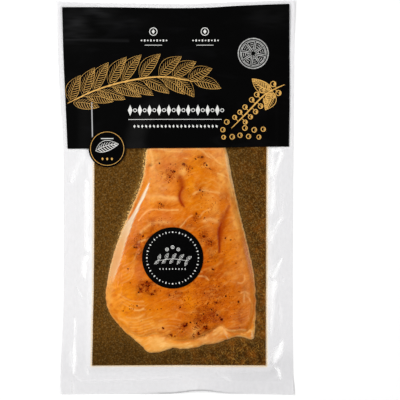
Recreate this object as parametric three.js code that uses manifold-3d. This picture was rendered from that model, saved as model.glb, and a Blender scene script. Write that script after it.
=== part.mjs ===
// Peppered smoked salmon in a clear vacuum pouch, lying on its back with the food side up.
// A gold card lies inside the pouch, slices of peppered salmon lie on the card, and the film hugs
// them. A black paper label covers the upper end, with a small badge sticker on its lower corner
// and a round sticker on the fish. The film over the card and the fish is thinner than any face
// here, so the card and the fish are open solids, and the pouch solid is the back sheet, the
// margins round the card and the sealed rim.
// Millimetres. X runs to the pack's right, Y to its labelled end, Z up, from the middle of the base.
import * as THREE from "three";
import { mergeVertices } from "three/addons/utils/BufferGeometryUtils.js";
import Module from "manifold-3d";

const wasm = await Module();
wasm.setup();

// The pouch
const POUCH_HALF_WIDTH = 76.5;
const POUCH_HALF_LENGTH = 126.2;
const RIM_THICKNESS = 0.6;
const RIM_WIDTH = 8;
const TOP_SEAL_Y = 97;
const TOP_SEAL_WIDTH = 10;
const BACK_SHEET = 0.4;
const MARGIN_PUFF = 1.1;
const FOLD_HEIGHT = 1.5;
const FOLD_HALF_WIDTH = 2.2;
const RIM_WAVE_X = 15;
const RIM_WAVE_HALF_WIDTH = 9;
const RIM_WAVE_LIFT = 3;
const RIM_WAVE_PULL = 3.2;
const TOP_CORNER_LIFT = 2.6;
const BOTTOM_CORNER_LIFT = 1.4;

// The card
const CARD_WIDTH = 110.7;
const CARD_LENGTH = 167.7;
const CARD_THICKNESS = 0.8;
const CARD_X = 2.95;
const CARD_Y = -23.6;
const CARD_TURN = THREE.MathUtils.degToRad(-0.35);
const CARD_TOP = BACK_SHEET + CARD_THICKNESS;
const FIT_GAP = 0.3;

// The fish: lower slices that show as a pale band, and the top slices that lie on them
const LOWER_THICKNESS = 2.6;
const SLICES_MEET = CARD_TOP + LOWER_THICKNESS;
const UPPER_INSET = 2;
const UPPER_EDGE = 0.7;
const UPPER_LEAST_BULK = 4.2;
const UPPER_EXTRA_BULK = 2.4;
const UPPER_EDGE_ROUND = 8;
const GROOVE_DEPTH = 1.3;
const GROOVE_HALF_WIDTH = 1.6;
const SLICE_CELL = 3.1;
const GRAIN_COUNT = 64;
const GRAIN_RADIUS = 0.62;
const GRAIN_SPACING = 2;
const GRAIN_SEED = 7;

// The label and the stickers
const PAPER = 0.35;
const LABEL_GAP = 0.5;
const STICKER_GAP = 0.25;
const BADGE_GAP = 0.15;
const LABEL_BOTTOM = 31.2;
const LABEL_TENT_REACH = 9;
const STICKER_RADIUS = 19.5;
const STICKER_X = -1.5;
const STICKER_Y = -38.7;
const BADGE_RADIUS = 12;
const BADGE_X = -43.5;
const BADGE_Y = 31;

const { clamp, lerp, smoothstep } = THREE.MathUtils;
const bell = (distance) => Math.exp(-distance * distance);

// A smooth curve through a few [position, value] pairs, as a function of the position.
function through(pairs) {
  const slope = (i) => {
    const a = pairs[Math.max(i - 1, 0)];
    const b = pairs[Math.min(i + 1, pairs.length - 1)];
    return (b[1] - a[1]) / (b[0] - a[0]);
  };
  return (at) => {
    let i = 0;
    while (i < pairs.length - 2 && at > pairs[i + 1][0]) i++;
    const [p0, v0] = pairs[i];
    const [p1, v1] = pairs[i + 1];
    const span = p1 - p0;
    const t = clamp((at - p0) / span, 0, 1);
    const rise = t * t * (3 - 2 * t);
    const start = t * (1 - t) * (1 - t) * span * slope(i);
    const end = t * t * (t - 1) * span * slope(i + 1);
    return v0 + (v1 - v0) * rise + start + end;
  };
}

// The pouch's four edges: the sides pull in beside the food, and the lower rim has one wave in it.
const pouchLeft = through([[-126.2, -73], [-66, -71.3], [30, -71.5], [75, -74.4], [126.2, -76.5]]);
const pouchRight = through([[-126.2, 76.2], [-66, 75.4], [30, 75.9], [126.2, POUCH_HALF_WIDTH]]);
const pouchTop = through([[-76.5, 124.4], [4, 123], [76.5, POUCH_HALF_LENGTH]]);
const rimWave = (x) => bell((x - RIM_WAVE_X) / RIM_WAVE_HALF_WIDTH);
const pouchBottom = (x) => -POUCH_HALF_LENGTH + RIM_WAVE_PULL * rimWave(x);

// The label's four edges: left, right, bottom and top
const labelEdges = [
  through([[LABEL_BOTTOM, -69.1], [121.6, -72.3]]),
  through([[32.4, 72.8], [123.5, 73.3]]),
  through([[-72.3, LABEL_BOTTOM], [73.3, 32.4]]),
  through([[-72.3, 121.6], [4.4, 120.6], [73.3, 123.5]]),
];

// A place between four edges: across runs from the left edge to the right one, along from the
// bottom edge to the top one, both from 0 to 1.
function between([left, right, bottom, top], lowY, highY) {
  return (across, along) => {
    const y = lerp(lowY, highY, along);
    const x = lerp(left(y), right(y), across);
    return [x, lerp(bottom(x), top(x), along)];
  };
}

// Closed solid between two height fields over one grid, both faces split into triangles alike.
function sheetBetween(across, along, place, low, high) {
  const columns = across.length;
  const rows = along.length;
  const positions = [];
  for (const height of [low, high]) {
    for (const v of along) {
      for (const u of across) {
        const [x, y] = place(u, v);
        positions.push(x, y, height(x, y));
      }
    }
  }
  const at = (column, row, face) => face * columns * rows + row * columns + column;
  const index = [];
  for (let row = 0; row < rows - 1; row++) {
    for (let column = 0; column < columns - 1; column++) {
      const [a, b] = [at(column, row, 0), at(column + 1, row, 0)];
      const [c, d] = [at(column + 1, row + 1, 0), at(column, row + 1, 0)];
      const up = columns * rows;
      index.push(a + up, b + up, c + up, a + up, c + up, d + up);
      index.push(a, c, b, a, d, c);
    }
  }
  const rim = [];
  for (let column = 0; column < columns - 1; column++) rim.push([column, 0]);
  for (let row = 0; row < rows - 1; row++) rim.push([columns - 1, row]);
  for (let column = columns - 1; column > 0; column--) rim.push([column, rows - 1]);
  for (let row = rows - 1; row > 0; row--) rim.push([0, row]);
  rim.forEach(([column, row], i) => {
    const [nextColumn, nextRow] = rim[(i + 1) % rim.length];
    const [a, b] = [at(column, row, 0), at(nextColumn, nextRow, 0)];
    const [c, d] = [at(nextColumn, nextRow, 1), at(column, row, 1)];
    index.push(a, b, c, a, c, d);
  });
  const geometry = new THREE.BufferGeometry();
  geometry.setAttribute("position", new THREE.Float32BufferAttribute(positions, 3));
  geometry.setIndex(index);
  return geometry;
}

const evenly = (count) => Array.from({ length: count + 1 }, (_, i) => i / count);

// Grid lines from 0 to 1 that lie close together within an edge zone and far apart between.
function closeAtEdges(edgeShare, edgeCount, middleCount) {
  const edge = evenly(edgeCount).map((t) => t * edgeShare);
  const middle = evenly(middleCount).map((t) => lerp(edgeShare, 1 - edgeShare, t));
  const farEdge = edge.map((t) => 1 - t).reverse();
  return [...edge, ...middle.slice(1, -1), ...farEdge];
}

// Joining and cutting
function toSolid(source) {
  const bare = source.index ? source.toNonIndexed() : source.clone();
  bare.deleteAttribute("normal");
  bare.deleteAttribute("uv");
  const merged = mergeVertices(bare, 1e-4);
  return new wasm.Manifold(
    new wasm.Mesh({
      numProp: 3,
      vertProperties: new Float32Array(merged.attributes.position.array),
      triVerts: new Uint32Array(merged.index.array),
    }),
  );
}

function toGeometry(solid) {
  const mesh = solid.getMesh();
  const geometry = new THREE.BufferGeometry();
  geometry.setAttribute("position", new THREE.BufferAttribute(mesh.vertProperties, 3));
  geometry.setIndex(new THREE.BufferAttribute(mesh.triVerts, 1));
  const flat = geometry.toNonIndexed();
  flat.computeVertexNormals();
  return flat;
}

// Outlines as closed curves, and the distance of a place from one
function outline(points) {
  const corners = points.map(([x, y]) => new THREE.Vector3(x, y, 0));
  const curve = new THREE.CatmullRomCurve3(corners, true, "centripetal");
  return curve.getPoints(4 * points.length).slice(0, -1).map((p) => [p.x, p.y]);
}

// The points of an outline that runs anticlockwise, each moved inward.
function inset(line, distance) {
  return line.map(([x, y], i) => {
    const before = line[(i + line.length - 1) % line.length];
    const after = line[(i + 1) % line.length];
    const along = new THREE.Vector2(after[0] - before[0], after[1] - before[1]).normalize();
    return [x - along.y * distance, y + along.x * distance];
  });
}

function distanceTo(line, x, y, closed = true) {
  let nearest = Infinity;
  for (let i = 0; i < line.length - (closed ? 0 : 1); i++) {
    const [ax, ay] = line[i];
    const [bx, by] = line[(i + 1) % line.length];
    const [dx, dy] = [bx - ax, by - ay];
    const t = clamp(((x - ax) * dx + (y - ay) * dy) / (dx * dx + dy * dy), 0, 1);
    nearest = Math.min(nearest, Math.hypot(x - ax - t * dx, y - ay - t * dy));
  }
  return nearest;
}

function inside(line, x, y) {
  let within = false;
  line.forEach(([ax, ay], i) => {
    const [bx, by] = line[(i + 1) % line.length];
    if (ay > y !== by > y && x < ax + ((y - ay) / (by - ay)) * (bx - ax)) within = !within;
  });
  return within;
}

const depthInside = (line, x, y) => distanceTo(line, x, y) * (inside(line, x, y) ? 1 : -1);

const flatPoints = (line) => line.map(([x, y]) => new THREE.Vector2(x, y));

function prism(line, bottom, top) {
  const shape = new THREE.Shape(flatPoints(line));
  const solid = new THREE.ExtrudeGeometry(shape, { depth: top - bottom, bevelEnabled: false });
  return toSolid(solid.translate(0, 0, bottom));
}

// Folds in the film between the card and the sealed rim, each from one end to the other.
const folds = [
  [69, 30, 60.7, 10.9], [60.7, 10.9, 60.7, -9.6], [69, -12.2, 60.7, -26.2],
  [69, -39, 60, -56.3], [65.8, -54.4, 61.3, -94.7], [69, -92.2, 60, -105.6],
  [64.5, -110, 68.4, -118.4], [-62.8, 18.6, -66, 10.9], [-56.4, 9.6, -56.4, -41.6],
  [-63.5, -29.4, -60.3, -41.6], [-58.4, -44, -60, -66], [-64.8, -77.4, -65, -104],
];

// How far a place is inside the pouch's rim, and outside the card.
const fromRim = (x, y) =>
  Math.min(x - pouchLeft(y), pouchRight(y) - x, y - pouchBottom(x), pouchTop(x) - y);

function fromCard(x, y) {
  const [dx, dy] = [x - CARD_X, y - CARD_Y];
  const turnedX = dx * Math.cos(-CARD_TURN) - dy * Math.sin(-CARD_TURN);
  const turnedY = dx * Math.sin(-CARD_TURN) + dy * Math.cos(-CARD_TURN);
  const outX = Math.max(Math.abs(turnedX) - CARD_WIDTH / 2, 0);
  const outY = Math.max(Math.abs(turnedY) - CARD_LENGTH / 2, 0);
  return Math.hypot(outX, outY);
}

// The rim lifts off the table in one wave at the bottom and a little at the corners.
function lift(x, y) {
  const nearBottom = 1 - smoothstep(y, -POUCH_HALF_LENGTH, -POUCH_HALF_LENGTH + 15);
  const nearTop = smoothstep(y, POUCH_HALF_LENGTH - 34, POUCH_HALF_LENGTH);
  const nearSide = smoothstep(Math.abs(x), 42, POUCH_HALF_WIDTH);
  const corner = nearSide * (TOP_CORNER_LIFT * nearTop + BOTTOM_CORNER_LIFT * nearBottom);
  return RIM_WAVE_LIFT * rimWave(x) * nearBottom + corner;
}

// The pouch's front: flat at the rim and the top seal, puffed and folded between rim and card.
function pouchFront(x, y) {
  const out = fromCard(x, y);
  const inward = smoothstep(fromRim(x, y), RIM_WIDTH - 0.5, RIM_WIDTH + 4);
  const belowSeal = 1 - smoothstep(y, TOP_SEAL_Y - TOP_SEAL_WIDTH - 4, TOP_SEAL_Y - 4);
  const underLabel = smoothstep(y, LABEL_BOTTOM - 7, LABEL_BOTTOM + 3);
  const loose = inward * belowSeal;
  const puff = MARGIN_PUFF * bell((out - 5) / 4) * lerp(1, 0.2, underLabel);
  const fold = folds.reduce((highest, [x0, y0, x1, y1]) => {
    const away = distanceTo([[x0, y0], [x1, y1]], x, y, false);
    return Math.max(highest, bell(away / FOLD_HALF_WIDTH));
  }, 0);
  const atCard = CARD_TOP - RIM_THICKNESS;
  const fall = atCard * (1 - smoothstep(out, 0, 12)) * loose;
  const clear = smoothstep(out, 0, 2.5) * (1 - underLabel);
  return lift(x, y) + RIM_THICKNESS + fall + loose * (puff + FOLD_HEIGHT * fold * clear);
}

function pouchSolid() {
  const edges = [pouchLeft, pouchRight, pouchBottom, pouchTop];
  const place = between(edges, -POUCH_HALF_LENGTH, POUCH_HALF_LENGTH);
  const nearEdges = closeAtEdges(0.15, 7, 1);
  const atWave = [-1.6, -0.8, 0, 0.8, 1.6].map((step) => {
    const x = RIM_WAVE_X + step * RIM_WAVE_HALF_WIDTH;
    return (x + POUCH_HALF_WIDTH) / (2 * POUCH_HALF_WIDTH);
  });
  const across = [...nearEdges.slice(0, 8), ...atWave, ...nearEdges.slice(8)];
  const along = closeAtEdges(0.08, 6, 35);
  const whole = toSolid(sheetBetween(across, along, place, lift, pouchFront));
  const pocket = new THREE.BoxGeometry(CARD_WIDTH + 2 * FIT_GAP, CARD_LENGTH + 2 * FIT_GAP, 20);
  pocket.rotateZ(CARD_TURN).translate(CARD_X, CARD_Y, BACK_SHEET + 10);
  return whole.subtract(toSolid(pocket));
}

// The fish seen from above: narrow at the tail end, which runs on under the label.
const fishEdge = [
  [-13, 46], [-18.8, 30.8], [-21.8, 11.3], [-28.9, -6.4], [-35.9, -24.2], [-41.2, -43.1],
  [-43.7, -56], [-44.6, -62.5], [-42, -73.5], [-32.1, -84.9], [-20.7, -95.7], [-17.5, -99],
  [-8.1, -98.2], [-1.5, -96.3], [4.6, -97.3], [19.8, -94.4], [33.7, -91.3], [40.5, -89.3],
  [49.6, -90.8], [50.6, -88], [51.2, -68.5], [49.9, -48.2], [45.7, -28], [40.6, -7.7],
  [36.9, 8.7], [32.1, 30.8], [27, 43], [16, 52], [0, 53],
];
const fishOutline = outline(fishEdge);

// The top slices lie inside the lower ones' sides. They end in an arc near the label's edge and in
// a scalloped edge near the lower rim.
const innerEdge = inset(fishEdge, UPPER_INSET);
const topSlicesOutline = outline([
  ...innerEdge.slice(2, 10),
  [-21.2, -89.6], [-13.6, -87.7], [-5.9, -89.6], [1.8, -92.2], [14, -90.6], [22.3, -86.1],
  [29.3, -82.6], [33.2, -85.8], [46.6, -85.4],
  ...innerEdge.slice(20, 25),
  [33, 17.9], [28, 21.1], [22.3, 24.8], [16, 26.5], [8.2, 25], [-2, 26], [-11.6, 22], [-17.5, 16],
]);

// Two creases between the slices
const creases = [
  [[3.3, 12.2], [4.6, 6.7], [3.3, 2.5], [3.3, -1], [5.7, -5.2]],
  [[35.2, -5.2], [32.4, -8.6], [29.6, -14.9], [27.9, -20.4], [28.6, -26], [28.2, -34.3]],
];

// The lower slices' rounded rim, from the card up: how far in it lies, and how high.
const lowerRim = [[0.4, 0], [0, 0.5], [0.1, 1.3], [0.6, 2.1], [1.8, LOWER_THICKNESS]];

const upperDepth = (x, y) => depthInside(topSlicesOutline, x, y);

// The fish's swell under the film, smooth under the round sticker and lumpy elsewhere.
function upperTop(x, y) {
  const bulk = UPPER_LEAST_BULK + UPPER_EXTRA_BULK * bell((x - 6) / 38) * bell((y + 48) / 48);
  const awayFromSticker = smoothstep(
    Math.hypot(x - STICKER_X, y - STICKER_Y),
    STICKER_RADIUS + 1.5,
    STICKER_RADIUS + 8,
  );
  const lumps = 0.3 * Math.sin(x / 6.3 + 1) * Math.sin(y / 8.1) + 0.2 * Math.sin((x + y) / 4.1);
  const grooves = creases.reduce(
    (sum, line) => sum + bell(distanceTo(line, x, y, false) / GROOVE_HALF_WIDTH),
    0,
  );
  const swell = 1 - Math.exp(-upperDepth(x, y) / UPPER_EDGE_ROUND);
  const relief = (bulk + lumps * awayFromSticker - GROOVE_DEPTH * grooves) * swell;
  return SLICES_MEET + UPPER_EDGE + Math.max(relief, -UPPER_EDGE);
}

// The lower slices: rings of points up the rim, closed by a flat face below and above.
function lowerSolid() {
  const rings = lowerRim.map(([inward]) => outline(inset(fishEdge, inward)));
  const count = rings[0].length;
  const positions = rings.flatMap((ring, i) => {
    const height = CARD_TOP + lowerRim[i][1];
    return ring.flatMap(([x, y]) => [x, y, height]);
  });
  const index = [];
  for (let ring = 0; ring < rings.length - 1; ring++) {
    for (let i = 0; i < count; i++) {
      const [a, b] = [ring * count + i, ring * count + ((i + 1) % count)];
      index.push(a, b, b + count, a, b + count, a + count);
    }
  }
  const faceOf = (ring) => THREE.ShapeUtils.triangulateShape(flatPoints(ring), []);
  const last = (rings.length - 1) * count;
  faceOf(rings[0]).forEach(([a, b, c]) => index.push(a, c, b));
  faceOf(rings.at(-1)).forEach(([a, b, c]) => index.push(a + last, b + last, c + last));
  const geometry = new THREE.BufferGeometry();
  geometry.setAttribute("position", new THREE.Float32BufferAttribute(positions, 3));
  geometry.setIndex(index);
  return geometry;
}

// The top slices before the pepper: a height field cut out by their outline.
function topSlicesBlock() {
  const [lowX, highX, lowY, highY] = [-47, 53, -96, 32];
  const across = evenly(Math.round((highX - lowX) / SLICE_CELL));
  const along = evenly(Math.round((highY - lowY) / SLICE_CELL));
  const place = (u, v) => [lerp(lowX, highX, u), lerp(lowY, highY, v)];
  const block = toSolid(sheetBetween(across, along, place, () => CARD_TOP, upperTop));
  return block.intersect(prism(topSlicesOutline, SLICES_MEET, 30));
}

// Coarsely ground pepper, thick in a few patches and thin elsewhere.
function pepperGrains() {
  let state = GRAIN_SEED;
  const random = () => {
    state = (state * 16807) % 2147483647;
    return state / 2147483647;
  };
  const patches = [
    [-2, 18, 6], [14, 20, 5], [-18, -26, 6], [19, -28, 6], [-19, -58, 6], [7, -81, 4],
    [26, -77, 6], [18, -85, 4], [30, -62, 9], [18, -12, 8],
  ];
  const grains = [];
  for (let tries = 0; grains.length < GRAIN_COUNT && tries < 5000; tries++) {
    const [patchX, patchY, spread] = patches[Math.floor(random() * patches.length)];
    const wide = random() < 0.3 ? 4 : 1;
    const angle = random() * 2 * Math.PI;
    const reach = spread * wide * Math.sqrt(random());
    const [x, y] = [patchX + reach * Math.cos(angle), patchY + reach * Math.sin(angle)];
    const radius = GRAIN_RADIUS * lerp(0.75, 1.25, random());
    const onSticker = Math.hypot(x - STICKER_X, y - STICKER_Y) < STICKER_RADIUS + 2;
    const apart = grains.every((grain) => Math.hypot(x - grain.x, y - grain.y) > GRAIN_SPACING);
    if (upperDepth(x, y) > 3 && !onSticker && apart) grains.push({ x, y, radius });
  }
  return grains;
}

function upperSolid() {
  const pepper = pepperGrains().map(({ x, y, radius }, i) => {
    const grain = new THREE.IcosahedronGeometry(radius, 0).rotateX(i).rotateZ(2 * i);
    return toSolid(grain.translate(x, y, upperTop(x, y) + 0.15 * radius));
  });
  return pepper.reduce((fish, grain) => fish.add(grain), topSlicesBlock());
}

function discSheet(centreX, centreY, radius, cells, low) {
  const place = (u, v) => {
    const [a, b] = [2 * u - 1, 2 * v - 1];
    return [
      centreX + radius * a * Math.sqrt(1 - (b * b) / 2),
      centreY + radius * b * Math.sqrt(1 - (a * a) / 2),
    ];
  };
  const lines = evenly(cells);
  return sheetBetween(lines, lines, place, low, (x, y) => low(x, y) + PAPER);
}

// What the label and the badge lie on: the pouch's front, and a tent over the fish's tail end.
function underPaper(x, y) {
  const ground = fromCard(x, y) === 0 ? CARD_TOP : pouchFront(x, y);
  const reach = 1 - smoothstep(-depthInside(fishOutline, x, y), 0, LABEL_TENT_REACH);
  return Math.max(ground, lerp(ground, SLICES_MEET, reach)) + LABEL_GAP;
}

function labelSheet() {
  const place = between(labelEdges, LABEL_BOTTOM, 123.5);
  const high = (x, y) => underPaper(x, y) + PAPER;
  return sheetBetween(evenly(22), evenly(14), place, underPaper, high);
}

// The badge lies on the label and dips to the film below the label's edge.
function underBadge(x, y) {
  const labelBottom = labelEdges[2](x);
  const onLabel = smoothstep(y, labelBottom - 5, labelBottom);
  return underPaper(x, y) + onLabel * (PAPER + BADGE_GAP);
}

// Finishes, one for each piece
const finish = (color, roughness, metalness = 0) =>
  new THREE.MeshStandardMaterial({ color, roughness, metalness, flatShading: true });

function piece(name, geometry, material) {
  const mesh = new THREE.Mesh(geometry, material);
  mesh.name = name;
  return mesh;
}

const card = piece(
  "card",
  new THREE.BoxGeometry(CARD_WIDTH, CARD_LENGTH, CARD_THICKNESS),
  finish(0x5c3f14, 0.45, 0.5),
);
card.position.set(CARD_X, CARD_Y, BACK_SHEET + CARD_THICKNESS / 2);
card.rotation.z = CARD_TURN;

const underSticker = (x, y) => upperTop(x, y) + STICKER_GAP;
const sticker = discSheet(STICKER_X, STICKER_Y, STICKER_RADIUS, 12, underSticker);
const badge = discSheet(BADGE_X, BADGE_Y, BADGE_RADIUS, 9, underBadge);

const pack = new THREE.Group();
pack.add(
  piece("pouch", toGeometry(pouchSolid()), finish(0xe6e6e6, 0.15)),
  card,
  piece("salmon_lower_slices", lowerSolid(), finish(0xeeb06a, 0.35)),
  piece("salmon_top_slices", toGeometry(upperSolid()), finish(0xe07a22, 0.35)),
  piece("label", labelSheet(), finish(0x0b0b0b, 0.4)),
  piece("round_sticker", sticker, finish(0x0b0b0b, 0.45)),
  piece("badge_sticker", badge, finish(0x0a0a0a, 0.4)),
);

export default pack;
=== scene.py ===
import math

import bpy
import numpy as np
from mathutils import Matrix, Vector, noise
from mathutils.geometry import delaunay_2d_cdt


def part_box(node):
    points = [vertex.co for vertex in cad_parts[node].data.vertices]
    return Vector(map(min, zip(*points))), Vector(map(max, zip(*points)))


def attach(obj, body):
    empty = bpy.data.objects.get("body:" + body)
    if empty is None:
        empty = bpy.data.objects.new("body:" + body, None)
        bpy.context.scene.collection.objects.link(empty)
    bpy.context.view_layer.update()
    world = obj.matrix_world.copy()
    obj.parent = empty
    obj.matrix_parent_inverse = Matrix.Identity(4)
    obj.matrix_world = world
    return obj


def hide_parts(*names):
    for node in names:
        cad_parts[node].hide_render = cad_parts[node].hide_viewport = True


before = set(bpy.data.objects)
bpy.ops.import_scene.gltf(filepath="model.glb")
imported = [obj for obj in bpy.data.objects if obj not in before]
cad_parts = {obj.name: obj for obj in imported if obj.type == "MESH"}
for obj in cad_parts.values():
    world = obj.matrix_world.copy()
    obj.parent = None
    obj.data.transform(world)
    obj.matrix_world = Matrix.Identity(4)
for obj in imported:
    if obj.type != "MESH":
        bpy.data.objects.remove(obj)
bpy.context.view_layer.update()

MM = 0.001
# The card's outline from its lower left corner, with a slight bow in its left side
CARD_EDGE = np.array([
    (-53.3, -108.1), (2.5, -107.7), (58.1, -107.9), (58.3, -24), (58.7, 59.9), (-51.9, 60.6),
    (-52, -21), (-52.3, -59.5), (-52.8, -78.7),
])
CARD_SPACING = 4.0
UNDER_SPACING = 6.0
BOARD_ROUND = 0.15
FOIL_ROUND = 0.3
SHARP_EDGE = math.radians(50)
FOIL_INSET = 0.08
FOIL = 0.06
BOARD_COLOUR = (240, 226, 196)
BOARD_FLECK = (214, 192, 150)
GOLD_DARK = (44, 27, 4)
GOLD_BROWN = (100, 64, 15)
GOLD_RUSSET = (100, 53, 2)
GOLD_WARM = (130, 72, 13)
GOLD_GRAIN_AND_GLINT = (204, 152, 64)
GRIT_PALE = (140, 112, 64)
GRIT_DARK = (30, 15, 2)


def paint(colour):
    """A colour of 0 to 255 as shader values."""
    shares = [channel / 255 for channel in colour]
    return [c / 12.92 if c < 0.04045 else ((c + 0.055) / 1.055) ** 2.4 for c in shares] + [1]


class Wire:
    """A node's output in a sum: each operator adds the Math node that it stands for."""

    def __init__(self, finish, socket):
        self.finish = finish
        self.socket = socket

    def worked(self, kind, first, second=0.0):
        return self.finish.node("ShaderNodeMath", {"operation": kind}, {0: first, 1: second})

    def __add__(self, other):
        return self.worked("ADD", self, other)

    def __sub__(self, other):
        return self.worked("SUBTRACT", self, other)

    def __rsub__(self, other):
        return self.worked("SUBTRACT", other, self)

    def __mul__(self, other):
        return self.worked("MULTIPLY", self, other)

    def __abs__(self):
        return self.worked("ABSOLUTE", self)

    __radd__ = __add__
    __rmul__ = __mul__


class Finish:
    """A material that is mixed from nodes. Its colours are tuples of 0 to 255 or Wires."""

    def __init__(self, name):
        self.material = bpy.data.materials.new(name)
        self.material.use_nodes = True
        self.tree = self.material.node_tree
        self.tree.nodes.clear()

    def node(self, kind, settings={}, sockets={}, output=0):
        made = self.tree.nodes.new(kind)
        for name, value in settings.items():
            setattr(made, name, value)
        for name, value in sockets.items():
            if isinstance(value, Wire):
                self.tree.links.new(value.socket, made.inputs[name])
            else:
                made.inputs[name].default_value = value
        return Wire(self, made.outputs[output])

    def place(self, longer=(1, 1, 1), turn=0.0):
        """Where a point of the piece lies, in metres, on axes that are turned and drawn longer."""
        here = self.node("ShaderNodeTexCoord", output="Object")
        if longer == (1, 1, 1) and turn == 0:
            return here
        sockets = {"Vector": here, "Scale": longer, "Rotation": (0, 0, turn)}
        return self.node("ShaderNodeMapping", {"vector_type": "TEXTURE"}, sockets)

    def across_and_up(self):
        """How far right and how far up a point of the piece lies, in metres."""
        kind, here = "ShaderNodeSeparateXYZ", {0: self.place()}
        return self.node(kind, sockets=here), self.node(kind, sockets=here, output=1)

    def grain(self, size, detail=2.0, longer=(1, 1, 1), turn=0.0, distortion=0.0):
        """Noise from 0 to 1 whose patches are about size millimetres across."""
        sockets = {"Vector": self.place(longer, turn), "Scale": 1 / (size * MM)}
        sockets.update({"Detail": detail, "Distortion": distortion})
        return self.node("ShaderNodeTexNoise", sockets=sockets)

    def rise(self, value, low, high):
        """0 below low, 1 above high, and smooth between."""
        sockets = {"Value": value, "From Min": low, "From Max": high}
        return self.node("ShaderNodeMapRange", {"interpolation_type": "SMOOTHSTEP"}, sockets)

    def painted(self, name):
        """A share that the mesh carries at its points."""
        return self.node("ShaderNodeAttribute", {"attribute_name": name}, output="Fac")

    def mixed(self, colour, *layers):
        """A colour with others laid over it in turn, each by its share."""
        for over, share in layers:
            under, over = (c if isinstance(c, Wire) else paint(c) for c in (colour, over))
            sockets = {0: share, 6: under, 7: over}
            colour = self.node("ShaderNodeMix", {"data_type": "RGBA"}, sockets, output=2)
        return colour

    def relief(self, height, depth):
        """Surface relief, depth millimetres deep where height goes from 0 to 1."""
        return self.node("ShaderNodeBump", sockets={"Height": height, "Distance": depth * MM})

    def solid(self, look):
        return self.node("ShaderNodeBsdfPrincipled", sockets=look)

    def done(self, look):
        """The finished material, from a shader or from the values of a solid one."""
        shader = look if isinstance(look, Wire) else self.solid(look)
        output = self.tree.nodes.new("ShaderNodeOutputMaterial")
        self.tree.links.new(shader.socket, output.inputs["Surface"])
        return self.material


def ease(value, low, high):
    """0 below low, 1 above high, and smooth between."""
    share = np.clip((value - low) / (high - low), 0, 1)
    return share * share * (3 - 2 * share)


def bell(distance):
    return np.exp(-distance * distance)


def curved(points, closed=True, steps=8):
    """A smooth line through the points, with no overshoot where they lie close together."""
    points = np.array(points, float)
    count = len(points)
    if closed:
        around = np.concatenate([points[-1:], points, points[:2]])
    else:
        before = 2 * points[0] - points[1]
        after = 2 * points[-1] - points[-2]
        around = np.concatenate([[before], points, [after]])
    line = []
    for i in range(count if closed else count - 1):
        p = around[i : i + 4]
        gap = np.maximum(np.sqrt(np.linalg.norm(np.diff(p, axis=0), axis=1)), 1e-6)
        out = (p[1] - p[0]) / gap[0] - (p[2] - p[0]) / (gap[0] + gap[1]) + (p[2] - p[1]) / gap[1]
        into = (p[2] - p[1]) / gap[1] - (p[3] - p[1]) / (gap[1] + gap[2]) + (p[3] - p[2]) / gap[2]
        t = np.linspace(0, 1, steps, endpoint=False)[:, None]
        start = p[1] * (2 * t**3 - 3 * t**2 + 1) + out * gap[1] * (t**3 - 2 * t**2 + t)
        end = p[2] * (3 * t**2 - 2 * t**3) + into * gap[1] * (t**3 - t**2)
        line.append(start + end)
    if not closed:
        line.append(points[-1:])
    return np.concatenate(line)


def away(line, x, y, closed=True):
    """How far places are from a line."""
    ends = np.roll(line, -1, axis=0) if closed else line[1:]
    starts = line if closed else line[:-1]
    nearest = np.full(np.shape(x), np.inf)
    for (ax, ay), (bx, by) in zip(starts, ends):
        dx, dy = bx - ax, by - ay
        share = np.clip(((x - ax) * dx + (y - ay) * dy) / (dx * dx + dy * dy + 1e-12), 0, 1)
        nearest = np.minimum(nearest, np.hypot(x - ax - share * dx, y - ay - share * dy))
    return nearest


def depth_inside(line, x, y):
    """How far places are inside a closed line, and below 0 outside it."""
    within = np.zeros(np.shape(x), bool)
    for (ax, ay), (bx, by) in zip(line, np.roll(line, -1, axis=0)):
        if ay != by:
            crosses = (ay > y) != (by > y)
            within ^= crosses & (x < ax + (y - ay) / (by - ay) * (bx - ax))
    return away(line, x, y) * np.where(within, 1, -1)


def inset(line, distance):
    """A closed anticlockwise line with its points moved inward."""
    line = np.array(line, float)
    along = np.roll(line, -1, axis=0) - np.roll(line, 1, axis=0)
    along /= np.linalg.norm(along, axis=1)[:, None] + 1e-12
    return line + distance * np.stack([-along[:, 1], along[:, 0]], axis=1)


def uneven(x, y, size, seed=0.0):
    """Smooth noise about 0, in patches of about size millimetres."""
    pairs = zip(np.ravel(x) / size, np.ravel(y) / size)
    return np.reshape([noise.noise(Vector((u, v, seed))) for u, v in pairs], np.shape(x))


def split(line, spacing):
    """A closed line in parts no longer than about the spacing."""
    parts = []
    for start, end in zip(line, np.roll(line, -1, axis=0)):
        count = max(1, round(np.linalg.norm(end - start) / spacing))
        parts.append(start + (end - start) * np.arange(count)[:, None] / count)
    return np.concatenate(parts)


def filled(line, spacing, insets=(), whole_rim=False):
    """Places that fill a closed line, the triangles between them, and the order of its rim."""
    rim = line if whole_rim else split(line, spacing)
    rows = [rim]
    for inward in insets:
        row = inset(rim, inward)
        rows.append(row[depth_inside(line, row[:, 0], row[:, 1]) > 0.8 * inward])
    low, high = rim.min(axis=0), rim.max(axis=0)
    across = np.arange(low[0], high[0] + spacing, spacing)
    along = np.arange(low[1], high[1] + spacing, spacing * 0.87)
    x, y = np.meshgrid(across, along)
    x[::2] += spacing / 2
    inner = np.stack([x.ravel(), y.ravel()], axis=1)
    least = (insets[-1] if insets else 0) + 0.55 * spacing
    rows.append(inner[depth_inside(line, inner[:, 0], inner[:, 1]) > least])
    places = [Vector(place) for place in np.concatenate(rows)]
    found = delaunay_2d_cdt(places, [], [list(range(len(rim)))], 1, 1e-6)
    new_place = {old: new for new, olds in enumerate(found[3]) for old in olds}
    order = [new_place[i] for i in range(len(rim))]
    return np.array([tuple(place) for place in found[0]]), found[2], order


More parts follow.
